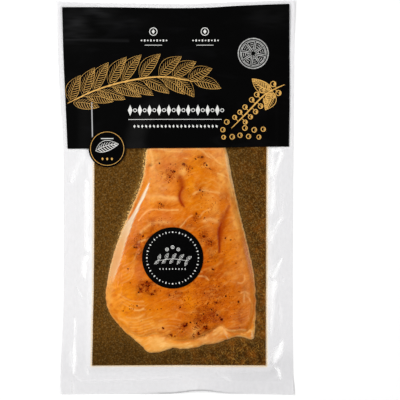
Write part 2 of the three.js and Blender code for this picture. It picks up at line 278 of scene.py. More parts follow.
def made(name, points, faces, material, smooth=True):
    """A mesh object from points in millimetres."""
    mesh = bpy.data.meshes.new(name)
    mesh.from_pydata((np.array(points) * MM).tolist(), [], faces)
    mesh.polygons.foreach_set("use_smooth", [smooth] * len(mesh.polygons))
    mesh.materials.append(material)
    thing = bpy.data.objects.new(name, mesh)
    bpy.context.scene.collection.objects.link(thing)
    return thing


def fixed(thing, node):
    """A piece of the pack that stands for a node of the frame."""
    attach(thing, "root")
    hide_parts(node)


def slab(name, fill, top, bottom, material, shares={}):
    """A closed sheet with shares painted on it. Its underside lies at the given heights, or on a
    wider net of its own at one height or at the height that a function gives."""
    places, triangles, rim = fill
    under, under_triangles, under_rim = places, triangles, rim
    if not isinstance(bottom, np.ndarray):
        under, under_triangles, under_rim = filled(places[rim], UNDER_SPACING, (), True)
        bottom = bottom(*under.T) if callable(bottom) else np.full(len(under), bottom)
    count = len(places)
    points = np.concatenate([np.column_stack([places, top]), np.column_stack([under, bottom])])
    faces = [tuple(face) for face in triangles]
    faces += [tuple(count + i for i in reversed(face)) for face in under_triangles]
    after, under_after = rim[1:] + rim[:1], under_rim[1:] + under_rim[:1]
    for a, b, c, d in zip(rim, after, under_after, under_rim):
        faces.append((b, a, d + count, c + count))
    thing = made(name, points, faces, material)
    thing.data.set_sharp_from_angle(angle=SHARP_EDGE)
    for share, values in shares.items():
        layer = thing.data.attributes.new(share, "FLOAT", "POINT")
        layer.data.foreach_set("value", np.concatenate([values, np.zeros(len(under))]))
    return thing


card_low, card_high = (np.array(corner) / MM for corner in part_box("card"))
CARD_TOP = card_high[2]


def card_line(inward):
    return inset(split(CARD_EDGE, 20), inward)


def from_card(x, y):
    """How far places are outside the card's edge, and 0 on it."""
    return np.maximum(-depth_inside(CARD_EDGE, x, y), 0)


board_paint = Finish("cream_board")
fleck = board_paint.rise(board_paint.grain(0.5, 4.0), 0.45, 0.75)
board_finish = board_paint.done({
    "Base Color": board_paint.mixed(BOARD_COLOUR, (BOARD_FLECK, fleck * 0.5)),
    "Roughness": 0.75,
    "Normal": board_paint.relief(fleck, 0.03),
})
board_fill = filled(card_line(0), CARD_SPACING, (BOARD_ROUND,))
edge_round = 0.1 * (1 - ease(depth_inside(card_line(0), *board_fill[0].T), 0, BOARD_ROUND))
board = slab("card_board", board_fill, CARD_TOP - FOIL - edge_round, card_low[2], board_finish)
fixed(board, "card")

foil_paint = Finish("gold_laminate")
foil_across, foil_up = foil_paint.across_and_up()
# The foil is warmer towards the lower right, and takes more of its painted glints there
rich_side = foil_paint.rise(foil_across - foil_up * 0.35, 0.005, 0.085)
low_end = foil_paint.rise(foil_up, -0.085, -0.102)
upper_right = foil_paint.rise(foil_across, 0.02, 0.045) * foil_paint.rise(foil_up, -0.045, -0.015)
fibres_up = foil_paint.grain(0.8, 5.0, (1, 2.4, 1), 0.5, 1.2)
fibres_down = foil_paint.grain(0.8, 5.0, (1, 2.4, 1), -0.7, 1.2)
weave = foil_paint.rise(fibres_up * 0.5 + fibres_down * 0.5, 0.41, 0.6)
brown = foil_paint.mixed(GOLD_BROWN, (GOLD_RUSSET, rich_side))
browned = 0.24 - 0.12 * low_end + weave * (0.76 - 0.42 * low_end - 0.3 * upper_right)
cloud = foil_paint.grain(7, 3.0)
# Bright gold threads and specks: the foil's grain, with its glints painted into the colour
threads = [foil_paint.grain(0.42, 2.0, (1, 9, 1), lean, 0.5) for lean in (0.75, -0.9, 0.2)]
grit_less = 1 - 0.35 * foil_paint.rise(foil_up, -0.07, -0.095)
grit_pale = foil_paint.rise(foil_paint.grain(1.0, 0.6), 0.53, 0.68) * grit_less
grit_dark = foil_paint.rise(foil_paint.grain(1.12, 0.6), 0.48, 0.33) * grit_less
glinting_specks = foil_paint.rise(foil_paint.grain(0.5, 2.0, (1, 1.8, 1), 0.9), 0.66, 0.78)
gold = foil_paint.mixed(
    GOLD_DARK,
    (brown, browned),
    (GOLD_WARM, foil_paint.rise(cloud, 0.45, 0.7) * rich_side * 0.6),
    (GOLD_DARK, foil_paint.rise(cloud, 0.48, 0.3) * rich_side * 0.5),
    *[(GOLD_GRAIN_AND_GLINT, foil_paint.rise(thread, 0.6, 0.72) * (0.07 + 0.4 * rich_side)) for thread in threads],
    (GRIT_DARK, grit_dark * (0.16 + 0.34 * rich_side)),
    (GRIT_PALE, grit_pale * (0.34 + 0.05 * rich_side)),
    (GOLD_GRAIN_AND_GLINT, glinting_specks * (0.12 + 0.3 * rich_side)),
)
foil_finish = foil_paint.done({
    "Base Color": gold,
    "Roughness": 0.5 - 0.15 * glinting_specks,
    "Specular IOR Level": 0.03,
    "Metallic": 0.2,
    "Normal": foil_paint.relief(weave, 0.05),
})
foil_fill = filled(card_line(FOIL_INSET), CARD_SPACING, (FOIL_ROUND, 0.8))
foil_depth = depth_inside(card_line(FOIL_INSET), *foil_fill[0].T)
foil_top = CARD_TOP - 0.03 * (1 - ease(foil_depth, 0, FOIL_ROUND))
foil = slab("card_gold_face", foil_fill, foil_top, CARD_TOP - FOIL, foil_finish)
fixed(foil, "card")

# The lower slices: thin cuts of cold smoked salmon, laid first, with their pale fatty ends showing
# past the slices on top. The film presses their rim down on to the card.
FISH_EDGE = [
    (-13, 46), (-18, 30.8), (-21, 11.3), (-27.7, -6.4), (-35.2, -24.2), (-41.3, -43.1),
    (-43.7, -56), (-44.6, -62.5), (-42.2, -73.6), (-33.4, -85), (-21.7, -95.2), (-17.5, -99.2),
    (-8.1, -98.9), (-1.5, -96.7), (4.6, -97.3), (11, -96.8), (19.8, -94.4), (26.5, -93.7),
    (33.4, -91.2), (40.5, -89.4), (49.8, -91), (50.7, -88), (51.7, -67.6), (50.3, -48.6),
    (45.8, -28), (40.8, -7.7), (37.1, 8.7), (32.6, 30.8), (27, 43), (16, 52), (0, 53),
]
LOWER_SPACING = 0.8
LOWER_THICKNESS = 2.6
RIM_HEIGHT = 0.5
RIM_ROUND = 0.8
EDGE_RAGGED = 0.45
FLESH = (210, 107, 4)
PALE_FLESH = (224, 150, 62)
PALE_FAT = (240, 184, 106)
YELLOW_FLESH = (214, 132, 30)
PALE_RIM = (252, 212, 138)
BRIGHT = (229, 134, 2)
DEEP = (178, 74, 2)
PALE = (234, 162, 74)
FAT = (246, 190, 112)
STAIN = (112, 38, 2)
# CREASE: the dark painted along the creases as their shade
CREASE = (146, 34, 0)
PINK = (208, 112, 60)
SPECK = (104, 38, 4)
TOP_INSET = 1.6
fish_line = split(curved(FISH_EDGE), 1.2)
fish_line = inset(fish_line, EDGE_RAGGED * uneven(*fish_line.T, 2.2, 17.0)[:, None])
fish_inset = [tuple(p) for p in inset(FISH_EDGE, TOP_INSET)]
# Where the top slices end, along the fish's sides and across its lower end and its tail
TOP_LINE = curved(
    fish_inset[2:10]
    + [(-21.2, -89.6), (-13.6, -87.7), (-5.9, -89.6), (1.8, -92.2), (14, -90.6), (22.3, -86.1)]
    + [(29.3, -82.6), (33.2, -85.8), (46.6, -85.4)]
    + fish_inset[22:27]
    + [(33, 17.9), (28, 21.1), (22.3, 24.8), (16, 26.5), (8.2, 25), (-2, 26), (-11.6, 22), (-17.5, 16)]
)


def lower_top(depth):
    rounded = 1 - np.exp(-np.maximum(depth, 0) / RIM_ROUND)
    return CARD_TOP + RIM_HEIGHT + (LOWER_THICKNESS - RIM_HEIGHT) * rounded


def flesh(finish, colour, grain):
    """Wet, slightly clear fish under tight film."""
    return finish.done({
        "Base Color": colour, "Normal": finish.relief(grain, 0.1), "Roughness": 0.5,
        "Specular IOR Level": 0.02, "Coat Weight": 0.05, "Coat Roughness": 0.08,
        "Subsurface Weight": 0.06, "Subsurface Radius": (1.0, 0.4, 0.15), "Subsurface Scale": 0.8 * MM,
    })


# Creases: their places, their half width at each place, and their share, each after its soft shade
CREASES = [
    ([(3.1, 12.2), (4.4, 9), (4.7, 5.8), (3.5, 3.2), (3, 0.7), (3.6, -2.2), (4.8, -4.5), (5.9, -6)],
     (2.2, 1.9, 1.7, 1.6, 1.6, 1.5, 1.1, 0.6), 0.66),
    ([(4.6, 7), (4.3, 5), (3.3, 3), (2.8, 0.7), (3.3, -2.2), (4.6, -4.5), (5.9, -6.2)],
     (0.5, 0.8, 1.1, 1.2, 1.2, 0.9, 0.4), 1),
    ([(34.8, -5.7), (33.2, -8.9), (31.5, -12.5), (30, -16), (29.1, -19.8), (28.7, -27.5), (28.6, -35)],
     (0.8, 1.4, 2.0, 2.4, 2.2, 1.3, 0.8), 0.66),
    ([(29.6, -16.5), (28.4, -19.8), (27.9, -23.7), (28.2, -27.5), (28.3, -32), (28.1, -35.4)],
     (0.6, 1.3, 1.2, 0.9, 0.9, 0.5), 1),
]
# Soft patches: x, y, half width, half height and share, under what they lean to
PATCHES = {
    "pale": [
        (4.9, 16.6, 2.4, 2.8, 1), (-9, 7, 8, 5, 0.6), (-6.5, -86, 4, 4, 0.6), (30, 9.5, 4, 5, 0.7),
        (35, 13, 3, 10, 1), (35, 15, 3, 8, 1), (22, 0, 5, 3, 0.3), (-8, -1, 11, 2.6, 0.65),
        (25, -9, 4, 6, 0.5), (39, -14, 3, 16, 0.8), (43, -42, 4, 12, 0.3), (12, -86, 3, 5, 0.9),
        (-24, -78, 5, 3.5, 0.4), (-10, -83, 5, 5, 0.5), (44.5, -62, 4, 4, 0.3), (38, -8, 3, 7, 0.6),
        (-37, -68, 4, 8, 0.3), (-30, -83, 6, 4, 0.3), (31, 26, 5, 10, 1), (-14, 26, 6, 6, 0.9),
        (-5, 28, 5, 3, 0.5), (-12, 15, 6, 6, 0.7), (0, 22, 5, 3, 0.5), (17, 31, 4, 3, 0.3),
        (33, 17, 3, 7, 0.9), (-16, 17, 2, 5, 0.6), (46, -55, 4, 14, 0.3), (-42, -59, 3, 9, 1),
        (-43, -67, 2.4, 7, 1), (-14, 7, 3, 7, 0.4), (21, 22, 2, 4, 0.5), (-11, -93, 6, 4, 0.9),
        (19, -89.6, 5, 3, 0.7), (30, -85, 2, 3, 1), (-4, -93, 5, 3, 0.5), (-8, 12, 6, 4, 0.7),
        (30, 28, 4, 4, 1), (36, 5, 2, 10, 0.8), (-3, 13, 5, 4, 0.5), (22, -19, 3, 4, 0.5),
        (37, -49, 4, 4, 0.4), (-2, 28, 9, 4, 0.4), (27, 27, 5, 7, 0.8), (30, 13, 4, 10, 0.8),
        (24, -2, 4, 4, 0.4), (-7, 10.5, 5, 3, 0.6), (6, 30, 24, 3, 0.4),
    ],
    "bright": [
        (-18, 27, 4, 6, 0.9), (0, 29, 8, 4, 0.5), (-31, -80, 6, 6, 0.9), (-36, -60, 6, 10, 0.8),
        (-31, -68, 12, 11, 1), (-22, -80, 14, 9, 0.9), (-29, -42, 6, 12, 0.9), (10, 4, 4, 12, 0.8),
        (13, 24, 6, 10, 1), (-14, -12, 9, 5, 0.4), (-17, 2, 5, 10, 0.8), (9, -66, 4, 10, 0.6),
        (-12, -84, 10, 5, 0.6), (17, -6, 6, 7, 0.7), (-16, -23, 6, 6, 0.4), (34, -35, 5, 10, 0.3),
        (-20, 22, 3, 7, 0.7), (20, 8, 6, 6, 0.7), (26, -38, 3, 8, 0.4), (-25, -87, 7, 4, 0.8),
        (0, -90.5, 4, 3, 1), (-18, -94.7, 2, 1.6, 1), (33, -89.6, 4, 2, 0.8), (7, -90, 2, 2, 0.6),
        (-20, -91.5, 4, 3, 1),
    ],
    "deep": [
        (19, -46, 6, 9, 0.8), (5, -19, 13, 4, 0.7), (-10, -19, 8, 4, 0.55), (-24, -38, 3, 8, 0.6),
        (26, -27, 5, 6, 0.6), (8, -60, 5, 4, 0.5), (42, -68, 5, 11, 0.6), (33, -84, 6, 3, 0.4),
        (33, -72, 9, 9, 0.6), (24, -60, 14, 8, 0.8), (31.5, 0.2, 4, 3.4, 1), (30.5, -22, 2.6, 12, 0.7),
        (5.5, 2, 3, 10, 0.5), (18, 27, 3, 8, 0.4), (28.4, -22.5, 1.8, 4, 1), (22, -24, 6, 10, 0.6),
        (15, 7, 3, 4, 0.6), (21, -76, 9, 8, 0.8), (-18, -56, 9, 6, 0.6), (12, -13, 5, 6, 0.6),
        (40, -47, 6, 9, 0.3), (4, -82, 5, 4, 0.5), (42, -74, 6, 7, 0.5), (-23, -29, 4, 8, 0.8),
        (10, 17, 4, 5, 0.3), (0, -62, 8, 4, 0.9), (14, -50, 9, 7, 0.7), (15, -7, 4, 5, 0.3),
        (22, -29, 7, 8, 0.8), (28, -48, 7, 6, 0.9), (-29, -36, 3, 12, 0.5), (-22, -41, 3.5, 11, 0.7),
        (40, -73, 6, 9, 0.7), (39, -84, 8, 3.5, 0.7), (18, -84, 7, 5, 0.6), (26, -65, 8, 10, 0.6),
        (28, -79, 6, 4, 0.6), (24, -38, 4, 5, 0.5), (3, 10, 2.5, 5, 0.6), (3, -71, 7, 5, 0.6),
        (7, -76, 6, 4, 0.5), (-23, -65, 4, 5, 0.4), (27, -90, 16, 6, 1), (22, 6, 3, 5, 0.3),
        (-15, -18, 4, 5, 0.7), (17.5, -40, 3, 8, 0.9), (1, -63, 6, 4, 0.8), (22, -42, 4, 7, 0.7),
        (28, -75, 4, 5, 0.6), (-19, -76, 6, 3, 0.35), (9, -19, 8, 4, 0.7), (0, -84, 4, 4, 0.4),
        (9, 1, 6, 3, 0.5), (-16, -24, 3, 4, 0.7), (29, -42, 4, 6, 0.7), (22, -50, 4, 4, 0.6),
        (-23, -71, 6, 6, 0.4), (29, -77, 3, 4, 0.8), (42, -77, 4, 5, 0.7), (3, -87, 4, 4, 0.5),
        (45, -60, 3, 6, 0.5), (35, -88, 4, 2.4, 1), (48, -88, 3, 2.6, 0.9), (-6, -91, 3, 2, 0.3),
        (-23, -31, 3, 5, 1), (16, -5, 4, 4, 0.4), (-13, 2, 8, 3, 0.4), (29, -36, 5, 5, 0.5),
        (18, -91, 8, 4, 0.8), (16, 22, 6, 4, 0.3), (-9, 19, 4, 5, 0.35), (18, 8, 4, 6, 0.4),
        (8, 1, 6, 5, 0.45),
    ],
    "pink": [
        (-8, -12, 7, 5, 0.6), (-23, -47, 4, 6, 0.5), (3, 27, 5, 3, 0.6), (-2, 13, 3, 3, 0.4),
        (10, 27, 4, 3, 0.4), (-4, 20, 6, 5, 0.4), (28, 27, 4, 4, 0.4), (35, 14, 3, 5, 0.5),
    ],
    # Brown stains where the pepper has bled, and the same brown painted as shade around the sticker
    "stain_and_shade": [
        (22, -50, 5, 6, 0.5), (-22, -33, 5, 8, 0.75), (-16, -24, 4, 5, 0.6), (-10, -19, 7, 4, 0.45),
        (9, -18, 7, 3, 0.4), (29, -44, 5, 6, 0.25), (24, -38, 4, 6, 0.4), (3, -85, 6, 5, 0.4),
        (22, -85, 5, 5, 0.5), (29, -76, 4, 4, 0.55), (41, -76, 5, 6, 0.25), (40, -83, 6, 4, 0.3),
        (16, -92, 6, 4, 0.3), (31, 24, 4, 8, 0.12), (-18, -44, 3, 8, 0.4), (28, -34, 5, 6, 0.15),
        (18, -89, 7, 3, 0.5), (42, -88, 12, 3, 0.3), (14.8, -87.2, 1.3, 1.6, 1), (19.6, -84, 1.5, 2, 0.8),
        (28.7, -76.8, 1.6, 1, 0.8), (25.5, -67, 1.8, 0.8, 0.8), (-20.4, -55.8, 1.4, 1, 0.8),
        (-18, -59.5, 1.6, 1, 0.9), (-12.9, -59.5, 1, 1, 1), (-7.6, -83.5, 0.8, 0.6, 1),
        (40.4, -67, 0.7, 0.9, 1), (6.1, -81.5, 1.9, 1.5, 1), (7.6, -80.4, 1, 1.2, 1),
        (-1.9, -88.2, 1.7, 1.3, 1), (24.6, -76, 1, 1, 1), (0.7, -60, 0.8, 0.6, 0.8),
        (31.5, -0.5, 3.6, 2.6, 0.08), (44, -60, 4, 6, 0.2), (28, -26, 1, 3, 0.5), (-3, 15.5, 3.6, 3, 0.5),
        (5.6, 20.5, 1.8, 1.4, 0.9), (14.6, 6.4, 3, 3.5, 0.15), (17.8, -25, 5, 6, 0.5),
        (22.3, -29, 4, 5.5, 0.5), (24.2, -46, 1.6, 3, 0.6), (-17.4, -56.3, 6, 4, 0.85),
        (-21.9, -59.5, 3, 4, 0.75), (-14.8, -61, 4, 2.5, 0.8), (27.4, -67, 2.6, 1.4, 0.8),
        (19.7, -73.6, 8, 4.5, 0.6), (25.5, -77.4, 4, 3, 0.75), (19, -83, 2.6, 4, 0.9),
        (6.9, -81.6, 3, 2.2, 1), (-2.8, -87.8, 2.4, 1.5, 0.8), (14.6, -78.7, 6, 5, 0.5),
        (-25, -32, 2.4, 2.4, 0.7), (-22, -24.5, 3, 2, 0.5), (-7.8, -5.8, 4, 1.3, 0.5),
        (17.2, 2.6, 3, 2, 0.4), (26, -60, 12, 6, 0.3), (10, -56, 8, 2.5, 0.35), (11.5, -89, 2.5, 3, 0.5),
        (17, 25, 2.4, 3.4, 0.2), (-16, 20.5, 1.6, 1, 0.6), (13.3, -12.8, 3, 3, 0.5),
        (28.2, -28, 1.2, 7, 0.6), (-23.5, -29, 4, 6, 0.5), (1, -61.5, 7, 2.5, 0.3), (6, 28, 24, 4, 0.14),
        (-10, 11, 6, 8, 0.15), (-9, 26, 9, 5, 0.15), (1, 21, 4, 3, 0.35),
    ],
}


def spotted(spots, x, y):
    """The share that each soft oval spot gives the places."""
    for across, along, half_width, half_height, most in spots:
        yield most * bell(np.hypot((x - across) / half_width, (y - along) / half_height))


def patched(kind, x, y):
    ragged = 1 + 0.9 * uneven(x, y, 4.0, 8.0) + 0.5 * uneven(x, y, 1.6, 9.0)
    return np.clip(1.15 * np.maximum.reduce(list(spotted(PATCHES[kind], x, y))) * ragged, 0, 1)


def tapering(lines, x, y, near, far):
    """How much of each place lines cover, with each one's half width changing along it."""
    covered = np.zeros(np.shape(x))
    for points, halves, share in lines:
        for (ax, ay), (bx, by), wide, next_wide in zip(points, points[1:], halves, halves[1:]):
            dx, dy = bx - ax, by - ay
            along = np.clip(((x - ax) * dx + (y - ay) * dy) / (dx * dx + dy * dy), 0, 1)
            off = np.hypot(x - ax - along * dx, y - ay - along * dy)
            off /= wide + along * (next_wide - wide)
            covered = np.maximum(covered, share * (1 - ease(off, near, far)))
    return covered


def creased(x, y):
    return tapering(CREASES, x, y, 0, 1.7)


def flesh_shares(x, y):
    return {**{kind: patched(kind, x, y) for kind in PATCHES}, "crease": creased(x, y)}


def flesh_colour(finish, rim=0.0):
    """The colour of both layers' flesh: soft patches, marbling, fat, stains, the shade painted
    around the sticker, the creases painted dark as shade, and dust.
    """
    marble = finish.grain(5, 4.0, (1.7, 0.8, 1), 0.5, 1.2)
    mottle = finish.grain(2.2, 3.0, distortion=0.5)
    fibres = finish.grain(1.3, 3.0, (2.6, 0.5, 1), 0.35, 1.5)
    blots = finish.rise(finish.grain(1.4, 5.0, distortion=0.8), 0.42, 0.6)
    dust = finish.rise(finish.grain(0.5, 2.0), 0.68, 0.75)
    deep, stain_and_shade = finish.painted("deep"), finish.painted("stain_and_shade")
    colour = finish.mixed(
        FLESH,
        (BRIGHT, finish.painted("bright") * 0.9),
        (DEEP, deep * 0.85),
        (PALE, finish.painted("pale") * 0.8),
        (PINK, finish.painted("pink") * 0.7),
        (DEEP, finish.rise(marble, 0.49, 0.7) * 0.42),
        (PALE, finish.rise(marble, 0.49, 0.3) * 0.3),
        (DEEP, finish.rise(mottle, 0.5, 0.68) * 0.2),
        (PALE, finish.rise(fibres, 0.5, 0.68) * 0.22),
        (PALE_FLESH, rim),
        (FAT, finish.painted("fat") * 0.9),
        (STAIN, stain_and_shade * (0.3 + 0.6 * blots)),
        (finish.mixed(CREASE, (STAIN, stain_and_shade * 0.7)), finish.painted("crease") * 0.95),
        (SPECK, dust * (0.1 + 0.3 * deep + 0.8 * stain_and_shade)),
    )
    return colour, marble


LOWER_SPECKS = (150, 78, 22)
# Lines of fat on the tail: their places, width and share
TAIL_LINES = [
    ([(33.6, 26), (35.4, 15), (37.4, 5)], 1.4, 0.7),
    ([(21.0, 28.2), (24.8, 25), (28.7, 21.4), (31.2, 20.5)], 0.5, 0.5),
    ([(12, 33), (18, 29), (23, 24)], 0.7, 0.5),
    ([(-16, 30), (-14.4, 24), (-15.5, 17)], 0.8, 0.6),
    ([(-11, 32), (-5, 29.5), (4, 29)], 0.7, 0.5),
    ([(-26.5, -86), (-20.5, -92), (-15, -94.5), (-9, -94)], 0.9, 0.2),
    ([(-12, -90.5), (-5, -95), (4, -94.5)], 0.8, 0.5),
    ([(14, -90), (20, -92.5), (27, -90.5)], 0.8, 0.5),
    ([(27, -85), (31, -83), (32.5, -88)], 1.2, 0.6),
]


def lines_share(lines, x, y):
    """How much of each place pale lines cover, with their width wandering a little."""
    covered = np.zeros(len(x))
    for points, width, share in lines:
        wide = width * (1 + 0.5 * uneven(x, y, 2.5, width))
        covered = np.maximum(covered, share * bell(away(curved(points, False), x, y, False) / wide))
    return covered


lower_paint = Finish("pale_salmon")
streaks = lower_paint.grain(3.0, 5.0, (2.2, 0.7, 1), 0.4, 1.0)
soft = lower_paint.grain(8, 3.0)
ragged = 0.35 + 0.65 * lower_paint.rise(lower_paint.grain(1.1, 3.0), 0.4, 0.6)
specks = lower_paint.rise(lower_paint.grain(0.7, 2.0), 0.7, 0.78)
lower_colour = lower_paint.mixed(
    PALE_FLESH,
    (PALE_FAT, lower_paint.rise(streaks, 0.42, 0.66)),
    (YELLOW_FLESH, lower_paint.rise(soft, 0.42, 0.62) * 0.75),
    (PALE_FAT, lower_paint.painted("fat")),
    (PALE_FAT, lower_paint.painted("pale") * 0.45),
    (BRIGHT, lower_paint.painted("bright") * 0.5),
    (DEEP, lower_paint.painted("deep") * 0.46),
    (flesh_colour(lower_paint)[0], lower_paint.painted("joined")),
    (PALE_RIM, lower_paint.painted("rim") * ragged),
    (LOWER_SPECKS, specks * 0.5),
)
lower_fill = filled(fish_line, LOWER_SPACING, (0.2, 0.5))
lower_x, lower_y = lower_fill[0].T
lower_depth = depth_inside(fish_line, lower_x, lower_y)
# Near the top slices, on the flanks and on the whole tail the two layers look like one
past_top = -depth_inside(TOP_LINE, lower_x, lower_y)
wander = 1.6 * uneven(lower_x, lower_y, 3.0, 21.0) + 1.0 * uneven(lower_x, lower_y, 1.1, 22.0)
joined = np.maximum.reduce([
    0.75 * (1 - ease(past_top + wander, 0.1, 1.6)),
    (1 - ease(past_top, 1.6, 4.5)) * ease(lower_y, -82, -72),
    ease(lower_y, 6, 14),
])
lower_wave = 0.1 * uneven(lower_x, lower_y, 5.0, 2.0) * ease(lower_depth, 0, 2)
lower_rim = 0.95 - (0.8 - 0.3 * ease(lower_x, 20, 40)) * (1 - ease(lower_y, -70, -30))
lower_slices = slab(
    "salmon_lower_slices_fine",
    lower_fill,
    lower_top(lower_depth) + lower_wave,
    CARD_TOP,
    flesh(lower_paint, lower_colour, streaks),
    {
        "fat": lines_share(TAIL_LINES, lower_x, lower_y),
        "joined": joined,
        "rim": lower_rim * bell((lower_depth - 0.2) / 0.6),
        **flesh_shares(lower_x, lower_y),
    },
)
fixed(lower_slices, "salmon_lower_slices")

# The top slices: deep orange cuts laid on the lower ones and drawn smooth by the film, with pale
# lines of fat between the muscle, two creases painted dark as shade where one slice meets the next,
# brown stains where the pepper has bled, and the same brown painted as shade around the sticker.
TOP_SPACING = 0.56
TOP_EDGE = 0.7
THIN_EDGE = 0.08
SLICES_MEET = CARD_TOP + LOWER_THICKNESS
# The slices' bulk, and where it is thickest: its centre, and how far it reaches each way
LEAST_BULK = 4.2
EXTRA_BULK = 2.4
THICK_X, THICK_Y = 6, -48
THICK_ACROSS, THICK_ALONG = 38, 48
TOP_ROUND = 8.0
TAIL_ROUND = 20.0
TAIL_START, TAIL_END = -4, 26
CREASE_DEPTH = 0.3
# Lines of fat: their places, width and share
FAT_LINES = [
    ([(-15.2, 18.6), (-12.3, 23.4), (-8.4, 25.9), (-3.3, 26.9), (3.1, 26.7), (7.6, 25)], 0.8, 0.65),
    ([(27.4, 15), (30.1, 14.1), (33.2, 12.5)], 0.5, 0.7),
    ([(11.6, 1.8), (14.3, 3.5), (18.4, 4.2), (24.1, 3.2), (28.2, 2.5)], 0.7, 0.5),
    ([(-16.9, 0.4), (-12, 1.1), (-6.5, -0.3), (0.5, -1)], 1.5, 0.45),
    ([(-23.2, -14.9), (-20.4, -11.4), (-16.9, -8.6), (-12, -7.9), (-5.1, -8.3), (1.9, -8.3)], 0.5, 0.6),
    ([(-21.8, -22.5), (-18.9, -19.8), (-14.8, -17), (-9.3, -15.9), (-3.7, -16.3)], 1.1, 0.45),
    ([(3.3, -19.1), (6, -16.3), (8.1, -13.5), (10.9, -11.8)], 0.45, 0.58),
    ([(15.7, -12.8), (18.5, -9.3), (22, -7.9)], 0.45, 0.48),
    ([(18.5, -14.9), (24.1, -14.2), (26.8, -15.6)], 1.2, 0.5),
    ([(-23.8, -28.8), (-20.4, -27.7), (-16.9, -26.4)], 0.5, 0.75),
    ([(14.8, -50.2), (18.9, -50.6), (21.4, -52.7)], 0.5, 0.6),
    ([(40.2, -54.6), (42.6, -54.8), (44.2, -53.1), (44.3, -50)], 0.5, 0.5),
    ([(42.1, -60.9), (44.4, -60.4), (46.6, -61.8)], 0.6, 0.55),
    ([(44.4, -60.8), (44, -63.4), (43.9, -66.6)], 0.6, 0.48),
    ([(45.3, -62.7), (47.2, -64.6), (48.7, -67.8)], 0.45, 0.5),
    ([(-25.7, -72.2), (-22.5, -72.1), (-20, -70.9)], 0.45, 0.7),
    ([(-30.8, -76.8), (-24.4, -77.1), (-19.3, -74.6)], 0.5, 0.35),
    ([(-36, -77.4), (-32.1, -79), (-30.2, -80.6)], 0.8, 0.35),
    ([(33.8, 22), (35.2, 14), (36.4, 8), (38, 1)], 2.0, 0.75),
    ([(32.2, -84.6), (35.1, -85.2), (38.9, -85), (42.1, -84.6), (44.7, -85)], 0.6, 0.6),
    ([(8, -44), (13, -47), (17, -47.5)], 0.5, 0.45),
    ([(-8, -66), (-2, -64.5), (5, -66.5)], 0.5, 0.15),
    ([(0, -71), (6, -73.5), (12, -73)], 0.5, 0.2),
    ([(31, -56), (34.5, -53.5), (38, -54.5)], 0.5, 0.15),
    ([(4.3, 17.6), (5.3, 15.6)], 1.5, 0.3),
]
# Bundles of finer lines: the first one, the step to the next, how many, width and share. Every
# other line is fainter.
FAINTER = 0.35
FIBRES = [
    ([(-29.5, -79.6), (-25, -79.6), (-20.6, -78.2), (-14.8, -76.4)], (0.5, -1.75), 7, 0.36, 0.36),
    ([(33.2, -83.6), (37.6, -82.9), (42.1, -81.3), (45.6, -79.6), (49.2, -74.6)], (0.5, 1.9), 6, 0.36, 0.2),
    ([(-36, -62), (-28, -66), (-20, -66.5)], (0.8, -2.6), 3, 0.4, 0.3),
    ([(-10, -79), (-3, -77.5), (4, -78.5)], (-0.4, -2.2), 4, 0.36, 0.25),
    ([(34, -40), (39, -37), (43, -38)], (0.6, -3.1), 6, 0.5, 0.1),
    ([(-33, -44), (-27, -41), (-24.5, -36)], (-0.4, -2.8), 5, 0.45, 0.25),
    ([(19.5, 12), (25, 10.5), (31, 5.5)], (-0.8, -2.9), 4, 0.45, 0.18),
]
STICKER_X, STICKER_Y, STICKER_RADIUS = -1.5, -38.7, 19.5


def top_swell(x, y):
    """How high the top slices stand over the lower ones, before their creases and ridges."""
    depth = depth_inside(TOP_LINE, x, y)
    extra = bell((x - THICK_X) / THICK_ACROSS) * bell((y - THICK_Y) / THICK_ALONG)
    bulk = LEAST_BULK + EXTRA_BULK * extra
    rounding = TOP_ROUND + (TAIL_ROUND - TOP_ROUND) * ease(y, TAIL_START, TAIL_END)
    swell = TOP_EDGE + bulk * (1 - np.exp(-np.maximum(depth, 0) / rounding))
    return swell, depth


def top_relief(x, y, depth, crease_depth=CREASE_DEPTH):
    """Creases cut down and soft lumps between them, none of it under the sticker."""
    lumps = 0.3 * np.sin(x / 6.3 + 1) * np.sin(y / 8.1) + 0.2 * np.sin((x + y) / 4.1)
    lumps += 0.3 * uneven(x, y, 9.0, 1.0) + 0.14 * uneven(x, y, 3.0, 4.0)
    from_sticker = np.hypot(x - STICKER_X, y - STICKER_Y) - STICKER_RADIUS
    return ease(depth, 0, 5) * ease(from_sticker, 0.5, 6) * (lumps - crease_depth * creased(x, y))


top_fill = filled(TOP_LINE, TOP_SPACING, (0.2,))
top_x, top_y = top_fill[0].T
top_rise, top_depth = top_swell(top_x, top_y)
near_tail = ease(top_y, 6, 22)
thinned = (TOP_EDGE - THIN_EDGE) * (1 - ease(top_depth, -0.2, 2.4 + 5 * near_tail))
top_z = SLICES_MEET + top_rise + top_relief(top_x, top_y, top_depth) - thinned
fibres = [
    ([(x + k * step_x, y + k * step_y) for x, y in points], width, share * (1 - FAINTER * (k % 2)))
    for points, (step_x, step_y), count, width, share in FIBRES
    for k in range(count)
]
fat_share = lines_share(FAT_LINES + fibres, top_x, top_y) * (0.95 + 0.5 * uneven(top_x, top_y, 3.0, 14.0))
rim_depth = top_depth + (0.6 + 2.5 * near_tail) * uneven(top_x, top_y, 4.0, 15.0)
lower_end = 1 - ease(top_y, -86, -78)
top_shares = {
    **flesh_shares(top_x, top_y),
    "fat": np.clip(fat_share, 0, 1),
    "rim": (0.1 + 0.4 * lower_end) * (1 - near_tail) * (1 - ease(rim_depth, 0.1, 2.0)),
}

top_paint = Finish("peppered_salmon")
top_flesh = flesh(top_paint, *flesh_colour(top_paint, top_paint.painted("rim")))
top_slices = slab("salmon_top_slices_fine", top_fill, top_z, SLICES_MEET, top_flesh, top_shares)
fixed(top_slices, "salmon_top_slices")

# The pepper: black corns, coarsely crushed and strewn on the top slices before they are packed,
# thick in some places and thin in others, and pressed into the flesh by the film.
PEPPER_SEED = 11
